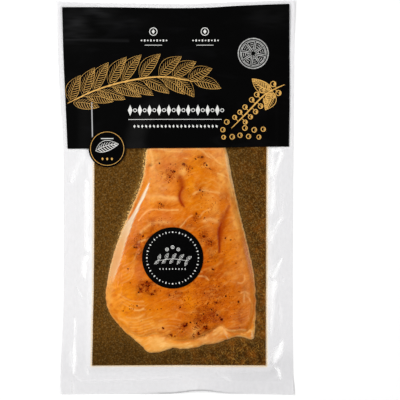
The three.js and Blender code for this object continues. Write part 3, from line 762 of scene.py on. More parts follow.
# Where it lies: x, y, spread, coarse grains, fine grains
PEPPER_HEAPS = [
    (16, 26, 1.6, 1, 8), (19, 20, 2.4, 1, 10), (-15.5, 21, 0.6, 1, 2), (16.5, 5, 1.6, 1, 10),
    (12, -88.5, 1.4, 2, 8), (14, -84, 3.0, 1, 30), (24, -75, 3.0, 2, 24), (4, -84, 3.0, 1, 14),
    (5.7, 20.8, 0.9, 3, 8), (-0.8, 16, 1.2, 3, 10), (-2.4, 14.8, 2.0, 1, 14), (1.5, 9.9, 0.3, 1, 3),
    (-10, 21.5, 0.2, 1, 1), (-3.3, 12, 2.6, 1, 20), (-6, 15, 4.0, 0, 14), (9, 18, 2.4, 1, 12),
    (17, 25.5, 0.7, 2, 4), (12.8, 24.3, 0.3, 1, 1), (21.6, 17.6, 1.1, 2, 4), (-9, -6.1, 2.6, 2, 16),
    (15, -12.4, 0.3, 1, 1), (18.6, -13.2, 0.8, 1, 3), (13, -14.5, 2.0, 1, 14), (24.3, -17, 0.3, 1, 0),
    (35.4, -27.2, 0.2, 1, 0), (32.1, -26.2, 0.5, 1, 3), (17.8, -24, 3.4, 3, 40), (22, -29, 2.6, 3, 26),
    (20.2, -41.7, 1.2, 2, 3), (24.1, -46.4, 0.9, 2, 5), (38.6, -42.2, 0.2, 1, 0), (-20.3, -24.6, 0.9, 2, 6),
    (-25, -32.2, 0.8, 2, 10), (-24, -27, 3.0, 0, 18), (-29.9, -45.8, 0.1, 1, 0), (-28.6, -54.7, 0.2, 1, 1),
    (-22, -59.8, 1.6, 4, 24), (-14.6, -61.8, 1.2, 3, 14), (-17.4, -55.4, 2.0, 3, 24), (-20, -57, 4.5, 2, 40),
    (-26.8, -70.3, 2.8, 3, 2), (-33.1, -72.6, 0.1, 1, 0), (-21.6, -79, 0.1, 1, 0), (-15.8, -71.7, 0.3, 1, 2),
    (-8.8, -71, 0.3, 1, 2), (-7.3, -83.8, 0.6, 2, 3), (6.6, -81.6, 0.9, 5, 10), (9.9, -79.9, 0.4, 2, 3),
    (0, -88.8, 0.5, 2, 6), (-2.8, -87.8, 0.4, 2, 4), (14.6, -87.4, 0.4, 2, 3), (19.1, -83.2, 1.3, 4, 16),
    (17.5, -88.6, 0.4, 1, 3), (26.9, -75.4, 0.5, 2, 3), (29.6, -78.2, 0.8, 3, 4), (26.5, -67, 0.9, 2, 6),
    (32.7, -63.1, 0.3, 1, 1), (40.3, -67.1, 0.3, 1, 0), (41.1, -60.2, 0.8, 1, 2), (27.7, -56.8, 0.3, 1, 1),
    (33.5, -77.1, 0.2, 0, 1), (40.8, -83.2, 0.7, 1, 1), (12.7, -54.7, 0.4, 1, 1), (4.4, -60.8, 0.4, 1, 2),
    (-2, -62, 1.8, 1, 6), (3.4, -70, 1.4, 1, 6), (20, -73, 7.0, 3, 110), (16, -79, 5.0, 2, 60),
    (10, -64, 12.0, 1, 70), (27, -61, 9.0, 2, 80), (36, -70, 7.0, 0, 16), (-6, -60, 12.0, 0, 24),
    (22, -5, 10.0, 0, 26), (-10, -18, 10.0, 0, 20), (36, -36, 8.0, 0, 14), (8, 8, 12.0, 0, 20),
    (24, -38, 4.0, 0, 10), (5.6, -82, 0.9, 4, 10), (7.4, -80.6, 0.6, 3, 6), (19.5, -84, 1.0, 5, 10),
    (14.9, -87, 0.9, 4, 8), (-2.2, -88.2, 0.8, 3, 8), (28.8, -76.6, 0.7, 3, 8), (25.6, -67, 0.9, 2, 6),
    (-20.4, -56, 0.9, 2, 8), (-18, -59.5, 1.1, 3, 8), (-12.9, -59.5, 0.6, 2, 6), (40.5, -66.6, 0.4, 2, 3),
    (-7.8, -83.4, 0.5, 2, 3), (5.8, 20.6, 0.6, 2, 4), (-1, 15.8, 0.8, 2, 5), (13.5, -10.5, 0.6, 2, 4),
    (0.2, 21, 0.25, 0, 3), (-2.8, 21, 0.3, 0, 3), (-2.5, 17, 0.4, 1, 3), (7.6, 19.9, 0.3, 0, 3),
    (7.4, 18, 0.4, 0, 3), (8.5, 16, 0.4, 0, 3), (-3, 12.6, 0.3, 0, 3), (-0.3, 12.6, 0.3, 0, 3),
    (-3.3, 10.6, 0.3, 0, 3), (-4, 9.1, 0.3, 0, 2), (17.6, 3.5, 0.35, 1, 2), (17.6, 1.3, 0.35, 0, 3),
    (16.6, -0.6, 0.3, 0, 3), (-10, 21.5, 0.3, 1, 1),
]
COARSE_RADIUS = 0.42
FINE_RADIUS = 0.25
PEPPER_BLACK = (60, 2, 0)
PEPPER_BROWN = (112, 26, 0)
DUST_DARK = (118, 20, 0)
DUST_LIGHT = (156, 52, 0)
DUST_PLENTY = 2.3
GRAIN_SUNK = 0.1
# How far a grain's corners are pushed in or out, as shares of its radius, and how far it leans
DENT = 0.22
LEAN = 0.4


def strewn(column, radius, chance):
    """Places for one size of grain on the top slices, with the size of each."""
    x, y = [], []
    for heap_x, heap_y, spread, *counts in PEPPER_HEAPS:
        count = round(counts[column] * (DUST_PLENTY if column else 1))
        angle = chance.uniform(0, 2 * np.pi, count)
        reach = spread * np.sqrt(chance.uniform(0, 1, count)) * chance.uniform(0.6, 1.3, count)
        x.extend(heap_x + reach * np.cos(angle))
        y.extend(heap_y + reach * np.sin(angle))
    x, y = np.array(x), np.array(y)
    rise, depth = top_swell(x, y)
    clear = (depth > 0.5) & (np.hypot(x - STICKER_X, y - STICKER_Y) > STICKER_RADIUS + radius + 0.3)
    x, y, rise, depth = x[clear], y[clear], rise[clear], depth[clear]
    z = SLICES_MEET + rise + top_relief(x, y, depth)
    size = radius * chance.uniform(0.5, 1.5, len(x))
    return np.column_stack([x, y, z - GRAIN_SUNK * size]), size


def grain_tree():
    """Crushed grains set on a mesh's points, each turned and flattened in its own way."""
    tree = bpy.data.node_groups.new("crushed_pepper", "GeometryNodeTree")
    sides = tree.interface
    for name, kind in (("Geometry", "Geometry"), ("Facets", "Int"), ("Seed", "Int"), ("Finish", "Material")):
        sides.new_socket(name, in_out="INPUT", socket_type="NodeSocket" + kind)
    sides.new_socket("Geometry", in_out="OUTPUT", socket_type="NodeSocketGeometry")

    def step(kind, sockets, **settings):
        added = tree.nodes.new(kind)
        for name, value in settings.items():
            setattr(added, name, value)
        for name, value in sockets.items():
            if hasattr(value, "is_linked"):
                tree.links.new(value, added.inputs[name])
            else:
                added.inputs[name].default_value = value
        return added.outputs[0] if added.outputs else None

    given = tree.nodes.new("NodeGroupInput").outputs

    def drawn(least, most):
        """A random vector between two limits."""
        sockets = {"Min": least, "Max": most, "Seed": given["Seed"]}
        return step("FunctionNodeRandomValue", sockets, data_type="FLOAT_VECTOR")

    ball = step("GeometryNodeMeshIcoSphere", {"Radius": 1.0, "Subdivisions": given["Facets"]})
    crush = drawn([-DENT] * 3, [DENT] * 3)
    dented = step("GeometryNodeSetPosition", {"Geometry": ball, "Offset": crush})
    size = step("GeometryNodeInputNamedAttribute", {"Name": "size"}, data_type="FLOAT")
    squash = drawn((0.7, 0.7, 0.45), (1.25, 1.1, 0.8))
    scaled = step("ShaderNodeVectorMath", {0: squash, "Scale": size}, operation="SCALE")
    turned = drawn((-LEAN, -LEAN, 0), (LEAN, LEAN, 6.28))
    sockets = {"Points": given["Geometry"], "Instance": dented, "Rotation": turned, "Scale": scaled}
    real = step("GeometryNodeRealizeInstances", {0: step("GeometryNodeInstanceOnPoints", sockets)})
    finished = step("GeometryNodeSetMaterial", {"Geometry": real, "Material": given["Finish"]})
    step("NodeGroupOutput", {"Geometry": finished})
    return tree


def grains(name, column, radius, facets, material, chance):
    points, size = strewn(column, radius, chance)
    thing = made(name, points, [], material)
    thing.data.attributes.new("size", "FLOAT", "POINT").data.foreach_set("value", size * MM)
    modifier = thing.modifiers.new("crushed", "NODES")
    modifier.node_group = pepper_tree
    sockets = [item for item in pepper_tree.interface.items_tree if item.in_out == "INPUT"]
    inputs = {item.name: item.identifier for item in sockets}
    modifier[inputs["Facets"]] = facets
    modifier[inputs["Seed"]] = PEPPER_SEED + column
    modifier[inputs["Finish"]] = material
    evaluated = thing.evaluated_get(bpy.context.evaluated_depsgraph_get())
    mesh = bpy.data.meshes.new_from_object(evaluated)
    thing.modifiers.remove(modifier)
    thing.data = mesh
    fixed(thing, "salmon_top_slices")


def husk(name, size, dark, light, low, high):
    """Dull, mottled pepper husk."""
    coat = Finish(name)
    colour = coat.mixed(dark, (light, coat.rise(coat.grain(size, 2.0), low, high)))
    return coat.done({"Base Color": colour, "Roughness": 0.7, "Specular IOR Level": 0.02})


pepper_tree = grain_tree()
pepper_finish = husk("black_pepper", 0.35, PEPPER_BLACK, PEPPER_BROWN, 0.48, 0.75)
dust_finish = husk("pepper_dust", 1.4, DUST_DARK, DUST_LIGHT, 0.4, 0.62)
chance = np.random.default_rng(PEPPER_SEED)
grains("pepper_coarse", 0, COARSE_RADIUS, 2, pepper_finish, chance)
grains("pepper_fine", 1, FINE_RADIUS, 1, dust_finish, chance)

# The pouch: two sheets of clear film sealed together along all four sides. The air is drawn out,
# so the front sheet clings to the fish and the card, bridges the fish's flank, and wrinkles in
# the margins between the card and the seals, where it turns a little milky.
POUCH_LEFT = [
    (-74, -126.2), (-73.2, -104.3), (-71.9, -78.7), (-71.5, -53), (-71.5, 0), (-71.7, 30), (-74.5, 75),
    (-76.5, 126.2),
]
POUCH_RIGHT = [(75.9, -126.2), (75.3, -78.7), (75.5, 0), (75.8, 30), (76.5, 126.2)]
POUCH_TOP = [
    (-76.5, 125.5), (-68, 125.2), (-53, 124.5), (-37, 124.2), (-22, 124), (-7, 123.7), (8, 123.6),
    (24, 124.3), (39, 124.9), (76.5, 126.2),
]
HALF_LENGTH = 126.2
HALF_WIDTH = 76.5
RIM_WIDTH = 8.0
FILM_SPACING = 0.9
TOP_SEAL = (83, 93)
CURL_TOP, CURL_BOTTOM = 1.2, 1.0
# The soft ridge right of the card: how far off it stands, and its half width
RIDGE_OFF, RIDGE_HALF = 4.0, 2.6
SHEETS = 0.22
FILM_GAP = 0.16
FLOOR_GAP = 0.02
WAVE_X, WAVE_HALF, WAVE_LIFT, WAVE_PULL = 16.0, 13.5, 2.4, 2.3
WAVE_SHADE_X, WAVE_SHADE_HALF = 8.0, 27.0
# Wrinkles in the margins, where the film's haze is cleared as painted highlights: their places,
# their half width at each place, and how bright they are
WRINKLES = [
    ([(61.6, 31), (61, 26.2), (60.4, 20.5), (60.5, 14.1)], (1.1, 1.2, 1.0, 0.8), 1),
    ([(68, 28.5), (66.4, 23.7), (64.2, 19.2), (62.3, 14.1), (61.6, 9.6)], (1.0, 1.4, 1.5, 1.3, 1.0), 1),
    ([(62.6, 30.1), (67.1, 30.4), (68.7, 27.5)], (1.0, 1.0, 0.8), 0.9),
    ([(61.6, 10.9), (61.8, 3.8), (61.6, -2.6), (60.7, -7.7), (59.9, -10.6)], (1.2, 1.4, 1.9, 1.4, 0.5), 1),
    ([(68.6, -13.1), (64.5, -18.2), (61.2, -22.7), (60.4, -27.2)], (0.6, 1.3, 1.7, 1.6), 0.8),
    ([(68.6, 1.3), (68.6, -11.5)], (0.4, 0.4), 0.35),
    ([(68.6, -39.4), (66.4, -42.9), (64.2, -46.1), (62, -49.9)], (0.5, 0.9, 1.4, 1.7), 1),
    ([(62.9, -55), (61.6, -60.8), (61, -65.9), (60.9, -73.6), (60.2, -86.4)], (2.3, 2.0, 1.5, 1.2, 0.7), 1),
    ([(67.7, -70.1), (68, -80.4)], (0.8, 0.8), 0.35),
    ([(69.2, -51.2), (69.2, -55.3)], (0.35, 0.35), 0.5),
    ([(68.7, -92.2), (67.2, -97), (64.6, -101.4), (62, -105.6)], (0.6, 2.1, 2.9, 1.3), 1),
    ([(62.8, -108.5), (66.1, -110.9), (67, -113.9), (67.4, -116.9)], (0.5, 1.2, 1.2, 0.6), 0.9),
    ([(-64.2, 16.8), (-65.3, 13), (-66.4, 10)], (1.8, 1.8, 1.4), 0.5),
    ([(-57.4, 28.8), (-61, 23), (-64.1, 17.3)], (2.4, 2.4, 1.8), 0.35),
    ([(-56.5, 10), (-56.6, 3), (-56.5, -7), (-56.5, -12)], (1.0, 1.5, 1.5, 1.2), 0.85),
    ([(-56.1, -12.9), (-56.9, -21.9), (-56.5, -28.7), (-56.1, -33.6)], (1.4, 1.0, 1.4, 1.6), 0.9),
    ([(-56.5, -38.5), (-58.2, -42), (-58.2, -46), (-58.4, -50.3), (-57.7, -52.3)],
     (1.4, 1.4, 1.6, 1.1, 0.5), 0.9),
    ([(-63, -58.1), (-59.6, -64.5)], (0.4, 0.4), 0.5),
    ([(-54.7, -62), (-54.3, -67.8)], (0.9, 0.9), 0.4),
    ([(-64.5, -77.2), (-64.3, -80.2), (-64.5, -89.5), (-64.8, -96.8)], (0.4, 0.8, 0.5, 1.0), 0.8),
    ([(-64.8, -96.8), (-64.5, -103.2), (-65.1, -108.6), (-65.3, -112.8)], (1.0, 1.4, 1.0, 0.7), 0.9),
    ([(-66, -118.4), (-65.8, -125)], (0.3, 0.5), 0.6),
    ([(-56.2, -109.4), (-56.2, -113.5)], (0.8, 0.8), 0.4),
    ([(27.1, -112.6), (34.3, -117.1)], (1.2, 1.4), 0.3),
    ([(5, -121.3), (9, -120)], (3.0, 3.0), 0.2),
    ([(-64.7, -114.5), (-60.9, -117.6), (-35.3, -117.1), (4.4, -115.5)], (0.6, 0.6, 0.6, 0.4), 0.3),
    ([(-66.5, -100), (-66, -108)], (1.8, 1.8), 0.4),
]
WRINKLE_RISE = 0.45
# Glints where the film meets the fish's own edges
FISH_GLINTS = [
    ([(49.2, -85.8), (49.3, -89), (49.8, -90.9)], (0.3, 0.7, 0.4), 0.5),
    ([(30.3, -83.2), (31.9, -86.4), (33.8, -90.2)], (0.3, 0.4, 0.3), 0.3),
    ([(32.6, 27), (34, 20), (36.2, 11), (37.2, 6)], (0.9, 1.4, 1.1, 0.5), 0.52),
]
# The two sides of the strip where the film bridges the left flank and stands off the fish
BRIDGE_OUTER = [
    (-15.4, 12.6), (-18.7, 5.8), (-21.7, 0.2), (-24.4, -5.1), (-27, -10.4), (-31, -15.8), (-33.9, -21.1),
    (-36.3, -26.4), (-38.2, -31.8), (-39.8, -37.1), (-41.3, -42.2), (-42.8, -48), (-44, -55), (-44.6, -60),
]
BRIDGE_INNER = [
    (-15.4, 12.6), (-16.9, 5.8), (-19.2, 0.2), (-21.9, -5.1), (-24.1, -10.4), (-26.6, -15.8),
    (-28.2, -21.1), (-30.3, -26.4), (-32, -31.8), (-33.3, -37.1), (-34.8, -42.2), (-37, -48), (-39.5, -54),
]
BRIDGE_RISE = 0.46
BRIDGE_HEIGHT = 2.1
BRIDGE_TAUT = 0.9
# The film's slope from the fish down to the card: its height and reach
SLOPE_HEIGHT = 1.4 * RIM_HEIGHT
SLOPE_REACH = 1.1
LABEL_LEFT = [(-69, 30.9), (-70.1, 55.7), (-71, 74.9), (-71.8, 94.1), (-72.3, 118.4), (-72.4, 121.6)]
LABEL_RIGHT = [(72.9, 32.3), (73.2, 55), (73.3, 75), (73.2, 94), (73.1, 123.7)]
LABEL_TOP = [
    (-72.4, 121.6), (-53.2, 121.7), (-37.9, 121.6), (-22.5, 121.35), (-7.1, 121.1), (8.2, 121.1),
    (23.6, 121.5), (38.9, 122.5), (54.3, 123.15), (73.1, 123.7),
]
LABEL_BOTTOM = [(-69, 30.9), (-28.9, 31.1), (35, 31.6), (48, 32.05), (72.9, 32.3)]
FILM_WHITE = (234, 233, 235)
FILM_WARM = (255, 222, 158)
# FILM_GOLDEN: the golden light and glints painted into the film beside the fish and by the card's edge
FILM_GOLDEN = (236, 184, 88)
# The grey of the shade painted into the film
FILM_SHADE_GREY = (110, 110, 112)
# The margins' haze, and how much of it the painted highlights on wrinkles and along the label's edge
# take away
HAZE, WRINKLE_HIGHLIGHT, LABEL_EDGE_HIGHLIGHT = 0.49, 0.92, 0.75


def crossed(points, at, axis):
    """A smooth side of the pouch or the label, read at places along it."""
    line = curved(points, False, 24)
    return np.interp(at, line[:, axis], line[:, 1 - axis])


def rim_wave(x):
    return bell((x - WAVE_X) / WAVE_HALF)


def pouch_sides(x, y):
    left = x - crossed(POUCH_LEFT, y, 1)
    right = crossed(POUCH_RIGHT, y, 1) - x
    bottom = y + HALF_LENGTH - WAVE_PULL * rim_wave(x)
    top = crossed(POUCH_TOP, x, 0) - y
    return np.minimum(np.minimum(left, right), np.minimum(bottom, top))


def lifted(x, y):
    """The rim off the table: one wave at the bottom, and the corners curled a little."""
    near_bottom = 1 - ease(y, -HALF_LENGTH, 15 - HALF_LENGTH)
    near_top = ease(y, HALF_LENGTH - 34, HALF_LENGTH)
    near_side = ease(np.abs(x), 42, HALF_WIDTH)
    corner = near_side * (CURL_TOP * near_top + CURL_BOTTOM * near_bottom)
    return WAVE_LIFT * rim_wave(x) * near_bottom + corner


def wrinkled(wrinkles, x, y):
    return tapering(wrinkles, x, y, 0.35, 1.6)


def film_loose(x, y, reach):
    """How free the front sheet hangs: 0 in the side seals and under the label's top, and 1 inside."""
    return ease(pouch_sides(x, y), RIM_WIDTH - 0.5, RIM_WIDTH + reach) * (1 - ease(y, *TOP_SEAL))


def film_front(x, y):
    """The front sheet's height, how far it bridges, how far inside the fish, and how far off the card."""
    out = from_card(x, y)
    loose = film_loose(x, y, 3)
    under_label = ease(y, 24, 34)
    right = ease(x, 0, 50)
    reach = 5.0 + 6.0 * right
    fall = (CARD_TOP - SHEETS) * (1 - ease(out, 0, reach)) * loose
    ridge_height = right * (0.5 + 0.6 * uneven(np.zeros_like(x), y, 26.0, 5.0))
    ridge = ridge_height * bell((out - RIDGE_OFF) / RIDGE_HALF)
    folds = WRINKLE_RISE * wrinkled(WRINKLES, x, y)
    small = 0.14 * uneven(x, y, 12.0, 6.0) + 0.04 * uneven(x, y, 5.0, 7.0)
    free = ease(out, 0, 2.0) * (1 - under_label)
    margin = lifted(x, y) + SHEETS + fall + loose * free * (ridge + folds + small)
    fish_depth = depth_inside(fish_line, x, y)
    swell, top_depth = top_swell(x, y)
    rise = lower_top(fish_depth) - CARD_TOP
    top = (swell - TOP_EDGE) * (top_depth > 0) + TOP_EDGE * ease(top_depth, -1.3, 0.5)
    pile = rise + top + top_relief(x, y, top_depth, 0.3 * CREASE_DEPTH) * (top_depth > 0)
    bridging = ease(depth_inside(BRIDGE, x, y), -0.2, 0.6)
    plane = BRIDGE_HEIGHT + BRIDGE_RISE * fish_depth
    pile = pile + bridging * np.maximum(plane - pile, 0) * BRIDGE_TAUT
    slope = SLOPE_HEIGHT * np.exp(np.minimum(fish_depth, 0) / SLOPE_REACH)
    over = np.where(fish_depth > 0, pile, slope)
    return margin + np.where(out > 0, 0, over) + FILM_GAP * (out == 0), bridging, fish_depth, out


BRIDGE = curved(BRIDGE_OUTER + BRIDGE_INNER[::-1])
# The pouch's outline, anticlockwise from the upper end of its left side
left_side = curved(POUCH_LEFT, False, 10)[::-1]
right_side = curved(POUCH_RIGHT, False, 10)
bottom_x = np.linspace(left_side[-1, 0], right_side[0, 0], 90)[1:-1]
bottom_side = np.column_stack([bottom_x, WAVE_PULL * rim_wave(bottom_x) - HALF_LENGTH])
top_x_places = np.linspace(right_side[-1, 0], left_side[0, 0], 30)[1:-1]
top_side = np.column_stack([top_x_places, crossed(POUCH_TOP, top_x_places, 0)])
left_side[0, 1] = crossed(POUCH_TOP, left_side[0, 0], 0)
pouch_line = np.concatenate([left_side, bottom_side, right_side, top_side])

label_line = np.concatenate([
    curved(LABEL_LEFT, False, 2)[::-1],
    curved(LABEL_BOTTOM, False, 6)[1:-1],
    curved(LABEL_RIGHT, False, 2),
    curved(LABEL_TOP, False, 6)[::-1][1:-1],
])

film_fill = filled(pouch_line, FILM_SPACING, (0.25,))
film_x, film_y = film_fill[0].T
film_z, bridged, film_depth, film_out = film_front(film_x, film_y)
film_sides = pouch_sides(film_x, film_y)
in_seal = 1 - ease(film_sides, RIM_WIDTH - 0.8, RIM_WIDTH + 0.4)
off_card = ease(film_out, 0.1, 0.7)
over_fish = ease(film_depth, 0, 0.5)
# The margins' haze, thickened to the right and to the bottom as painted shade, and thinned in wrinkles
# and by the label as painted highlights
haze_with_painted_light = HAZE + 0.01 * ease(film_x, -62, 60) + 0.13 * ease(-film_y, 50, 122) + 0.05 * ease(film_y, 110, 122)
haze_with_painted_light += 0.09 * ease(-film_y, 90, 122) * ease(film_x, -20, 60)
haze_with_painted_light += 0.09 * in_seal * ease(film_x, -40, 60) + 0.06 * bell((film_sides - RIM_WIDTH) / 0.5)
haze_with_painted_light *= 1 - WRINKLE_HIGHLIGHT * wrinkled(WRINKLES, film_x, film_y)
haze_with_painted_light *= 1 - LABEL_EDGE_HIGHLIGHT + LABEL_EDGE_HIGHLIGHT * ease(away(label_line, film_x, film_y), 0.2, 1.5)
# A shadow painted in grey along the lifted edge of the wave at the bottom
painted_wave_shadow = bell(film_sides / 0.7) * bell((film_x - WAVE_SHADE_X) / WAVE_SHADE_HALF)
painted_wave_shadow *= ease(-film_y, 100, 120)
# The lower end painted a little greyer as shade, more so to the right
painted_end_shade = (0.05 + 0.06 * ease(film_x, 20, 50)) * ease(-film_y, 92, 108)
# Painted light: a warm bright line in the film along the card's edge
card_glow = bell((film_out - 0.35) / (0.4 + 0.2 * ease(film_x, -20, 20))) * (film_out > 0)
# The film standing off the left flank is milky, and brighter towards the top and along its inner edge as a
# painted highlight
flank_glow = bell(away(curved(BRIDGE_INNER, False), film_x, film_y, False) / 0.9)
strip = (0.37 + 0.38 * ease(film_y, -40, -4)) * ease(film_y, -60, -48) + 0.18 * flank_glow
upper_left = ease(film_y, -62, 0) * (1 - ease(film_x, -10, 20))
# Painted glints: golden specks of film along the fish's edge on the card, thickest at the upper left
glint_fringe = (0.1 + 0.9 * upper_left) * bell((film_depth + 0.3) / (0.7 + 0.7 * upper_left)) * (film_out == 0)
label_glow = bell((film_y - crossed(LABEL_BOTTOM, film_x, 0) + 0.75) / 0.5) * over_fish
right_glint = bell((film_depth - 1.6) / 1.4) * ease(film_x, 30, 44) * ease(film_y, -66, -40)
right_glint *= 1 - ease(film_y, -36, -20)
# Beside the fish the film over the card is painted brighter and golden, as painted light, most at the upper
# left
on_card = (film_out == 0) * (1 - ease(film_depth, -0.1, 0.4))
# The film's milk: its haze, with light and shade painted in: the shadow along the wave, light along the
# card's edge and beside the fish, and highlights on the flank, at the right, under the label's edge and at
# the fish's own edges
milk = np.maximum.reduce([
    haze_with_painted_light * off_card,
    0.55 * painted_wave_shadow,
    0.5 * card_glow,
    (0.05 + 0.13 * upper_left) * on_card * np.exp(np.minimum(film_depth, 0) / 1.5),
    strip * bridged * over_fish,
    0.13 * right_glint,
    0.25 * label_glow,
    0.045 * over_fish * ease(film_y, 12, 28) * (1 - 0.8 * bell((film_x - 15) / 8)),
    wrinkled(FISH_GLINTS, film_x, film_y) * over_fish,
])
warm = np.maximum.reduce([card_glow, over_fish * (1 - right_glint), glint_fringe])
warm *= 1 - 0.4 * bridged * ease(film_y, -30, -10)
golden = np.maximum(on_card, 0.35 * card_glow)

film_paint = Finish("clear_film")
clouding = film_paint.grain(13, 3.0)
glint_specks = film_paint.rise(film_paint.grain(0.9, 3.0), 0.53, 0.6)
crumple = film_paint.grain(3.2, 4.0, (1, 1.7, 1))
veil_share = film_paint.painted("milk") * (0.76 + 0.16 * clouding + 0.32 * crumple)
veil_share = veil_share + film_paint.painted("glint_fringe") * glint_specks * 0.75
tints = {"warm": FILM_WARM, "golden": FILM_GOLDEN, "edge": FILM_SHADE_GREY}
veil_tint = film_paint.mixed(FILM_WHITE, *[(tints[share], film_paint.painted(share)) for share in tints])
film_solid = film_paint.solid({
    "Base Color": veil_tint,
    "Roughness": 0.24 + 0.08 * film_paint.painted("seal"),
    "Specular IOR Level": 0.2,
    "Normal": film_paint.relief(clouding, 0.04),
})
see_through = film_paint.node("ShaderNodeBsdfTransparent")
film_mix = film_paint.node("ShaderNodeMixShader", sockets={0: veil_share, 1: see_through, 2: film_solid})
film = slab(
    "pouch_film",
    film_fill,
    film_z,
    lambda x, y: lifted(x, y) + FLOOR_GAP,
    film_paint.done(film_mix),
    {
        "milk": milk, "seal": in_seal, "warm": warm, "golden": golden, "glint_fringe": glint_fringe,
        # edge: the grey shade painted along the wave and at the lower end
        "edge": np.maximum(painted_wave_shadow, painted_end_shade),
    },
)
fixed(film, "pouch")

# The label: black satin paper with square corners, stuck across the pouch's upper end over the top
# seal and the fish's tail. The card's edge and the seal show through it as faint ridges, with light
# painted on them.
LABEL_SPACING = 1.1
LABEL_PAPER = 0.24
LABEL_LIFT = 0.34
TENT_REACH = 17.0
CARD_SLOPE = 12.0
SEAL_Y = 97.0
SIDE_RIDGE, CARD_RIDGE, SEAL_RIDGE = 0.14, 0.04, 0.05
LABEL_BLACK = (2, 2, 2)
LABEL_WORN = (8, 8, 9)
LABEL_SHINE = (86, 86, 88)
RIDGE_HIGHLIGHT_GREY = (176, 176, 178)
# Where light falls on it, as spots: x, y, half width, half height and share
LABEL_SHEEN = [
    (-64, 110, 9, 10, 0.11), (-51, 118, 10, 5, 0.1), (61, 116, 14, 8, 0.03), (-40, 112, 20, 4, 0.04),
]
# The crease that light catches over the seal: its ends, its half width and its share
SEAL_CREASE = [(-70, 100.6), (-30, 100.2)]
SEAL_CREASE_HALF, SEAL_CREASE_SHARE = 0.5, 0.13
# The highlight painted on the ridge over the card's left edge: its place in metres, and how it leans
EDGE_X, EDGE_LEAN = -0.0522, 0.02


def label_under(x, y):
    """What the label and the badge lie on: the film, and a tent over the fish's tail."""
    slope = (CARD_TOP - SHEETS) * (1 - ease(from_card(x, y), 0, CARD_SLOPE)) * film_loose(x, y, 4)
    ground = lifted(x, y) + SHEETS + slope
    reach = 1 - ease(-depth_inside(fish_line, x, y), 0, TENT_REACH)
    return np.maximum(ground, ground + (SLICES_MEET + FILM_GAP - ground) * reach) + LABEL_LIFT


def label_top(x, y):
    ridge = SIDE_RIDGE * bell(away(CARD_EDGE[[5, 6, 7, 8, 0]], x, y, False) / 0.7)
    ridge += CARD_RIDGE * bell(away(CARD_EDGE[2:5], x, y, False) / 0.9)
    seal = SEAL_RIDGE * (bell((y - SEAL_Y - 3) / 0.8) + bell((y - SEAL_Y + 4) / 0.8))
    buckle = 0.10 * uneven(x, y, 30.0, 12.0) + 0.03 * uneven(x, y, 9.0, 13.0)
    return label_under(x, y) + LABEL_PAPER + ridge + seal + buckle


label_fill = filled(label_line, LABEL_SPACING, (0.2,))
label_x, label_y = label_fill[0].T
streaked = 0.75 + 0.9 * uneven(label_x / 6, label_y, 1.6, 31.0)
sheen = np.maximum.reduce(list(spotted(LABEL_SHEEN, label_x, label_y))) * streaked
off_crease = away(np.array(SEAL_CREASE, float), label_x, label_y, False)
sheen = np.maximum(sheen, SEAL_CREASE_SHARE * bell(off_crease / SEAL_CREASE_HALF))

label_paint = Finish("black_label")
pulp = label_paint.grain(0.7, 4.0)
scuff = label_paint.grain(16, 4.0, (1.8, 0.7, 1), 0.0, 1.0)
label_across, label_up = label_paint.across_and_up()
from_edge = label_across + label_up * EDGE_LEAN - EDGE_X
# A highlight painted along the ridge over the card's left edge
ridge_highlight = label_paint.rise(abs(from_edge), 0.00046, 0.0002)
ridge_highlight = ridge_highlight * label_paint.rise(label_up, 0.037, 0.039) * label_paint.rise(label_up, 0.0612, 0.06)
black = label_paint.mixed(
    LABEL_BLACK,
    (LABEL_WORN, label_paint.rise(scuff, 0.5, 0.8)),
    (LABEL_SHINE, label_paint.painted("sheen")),
    (RIDGE_HIGHLIGHT_GREY, ridge_highlight),
)
label_finish = label_paint.done({
    "Base Color": black,
    "Roughness": 0.4 + 0.1 * pulp,
    "Specular IOR Level": 0.03,
    "Normal": label_paint.relief(pulp, 0.02),
})
label_z = label_top(label_x, label_y)
label_sheen = {"sheen": np.clip(sheen, 0, 1)}
label = slab("label_sheet", label_fill, label_z, label_z - LABEL_PAPER, label_finish, label_sheen)
fixed(label, "label")

# The label's print: ink a few hundredths of a millimetre thick. A gold bay branch is drawn in
# engraved strokes, with a slice of lemon in grey, a spray of peppercorns in gold, and ornaments
# in off-white.
INK_LIFT = 0.08
INK_STEP = 1.2
GOLD_INK = (222, 172, 88)
GOLD_INK_DARK = (186, 134, 58)
WHITE_INK = (226, 226, 222)
GREY_INK = (150, 150, 148)


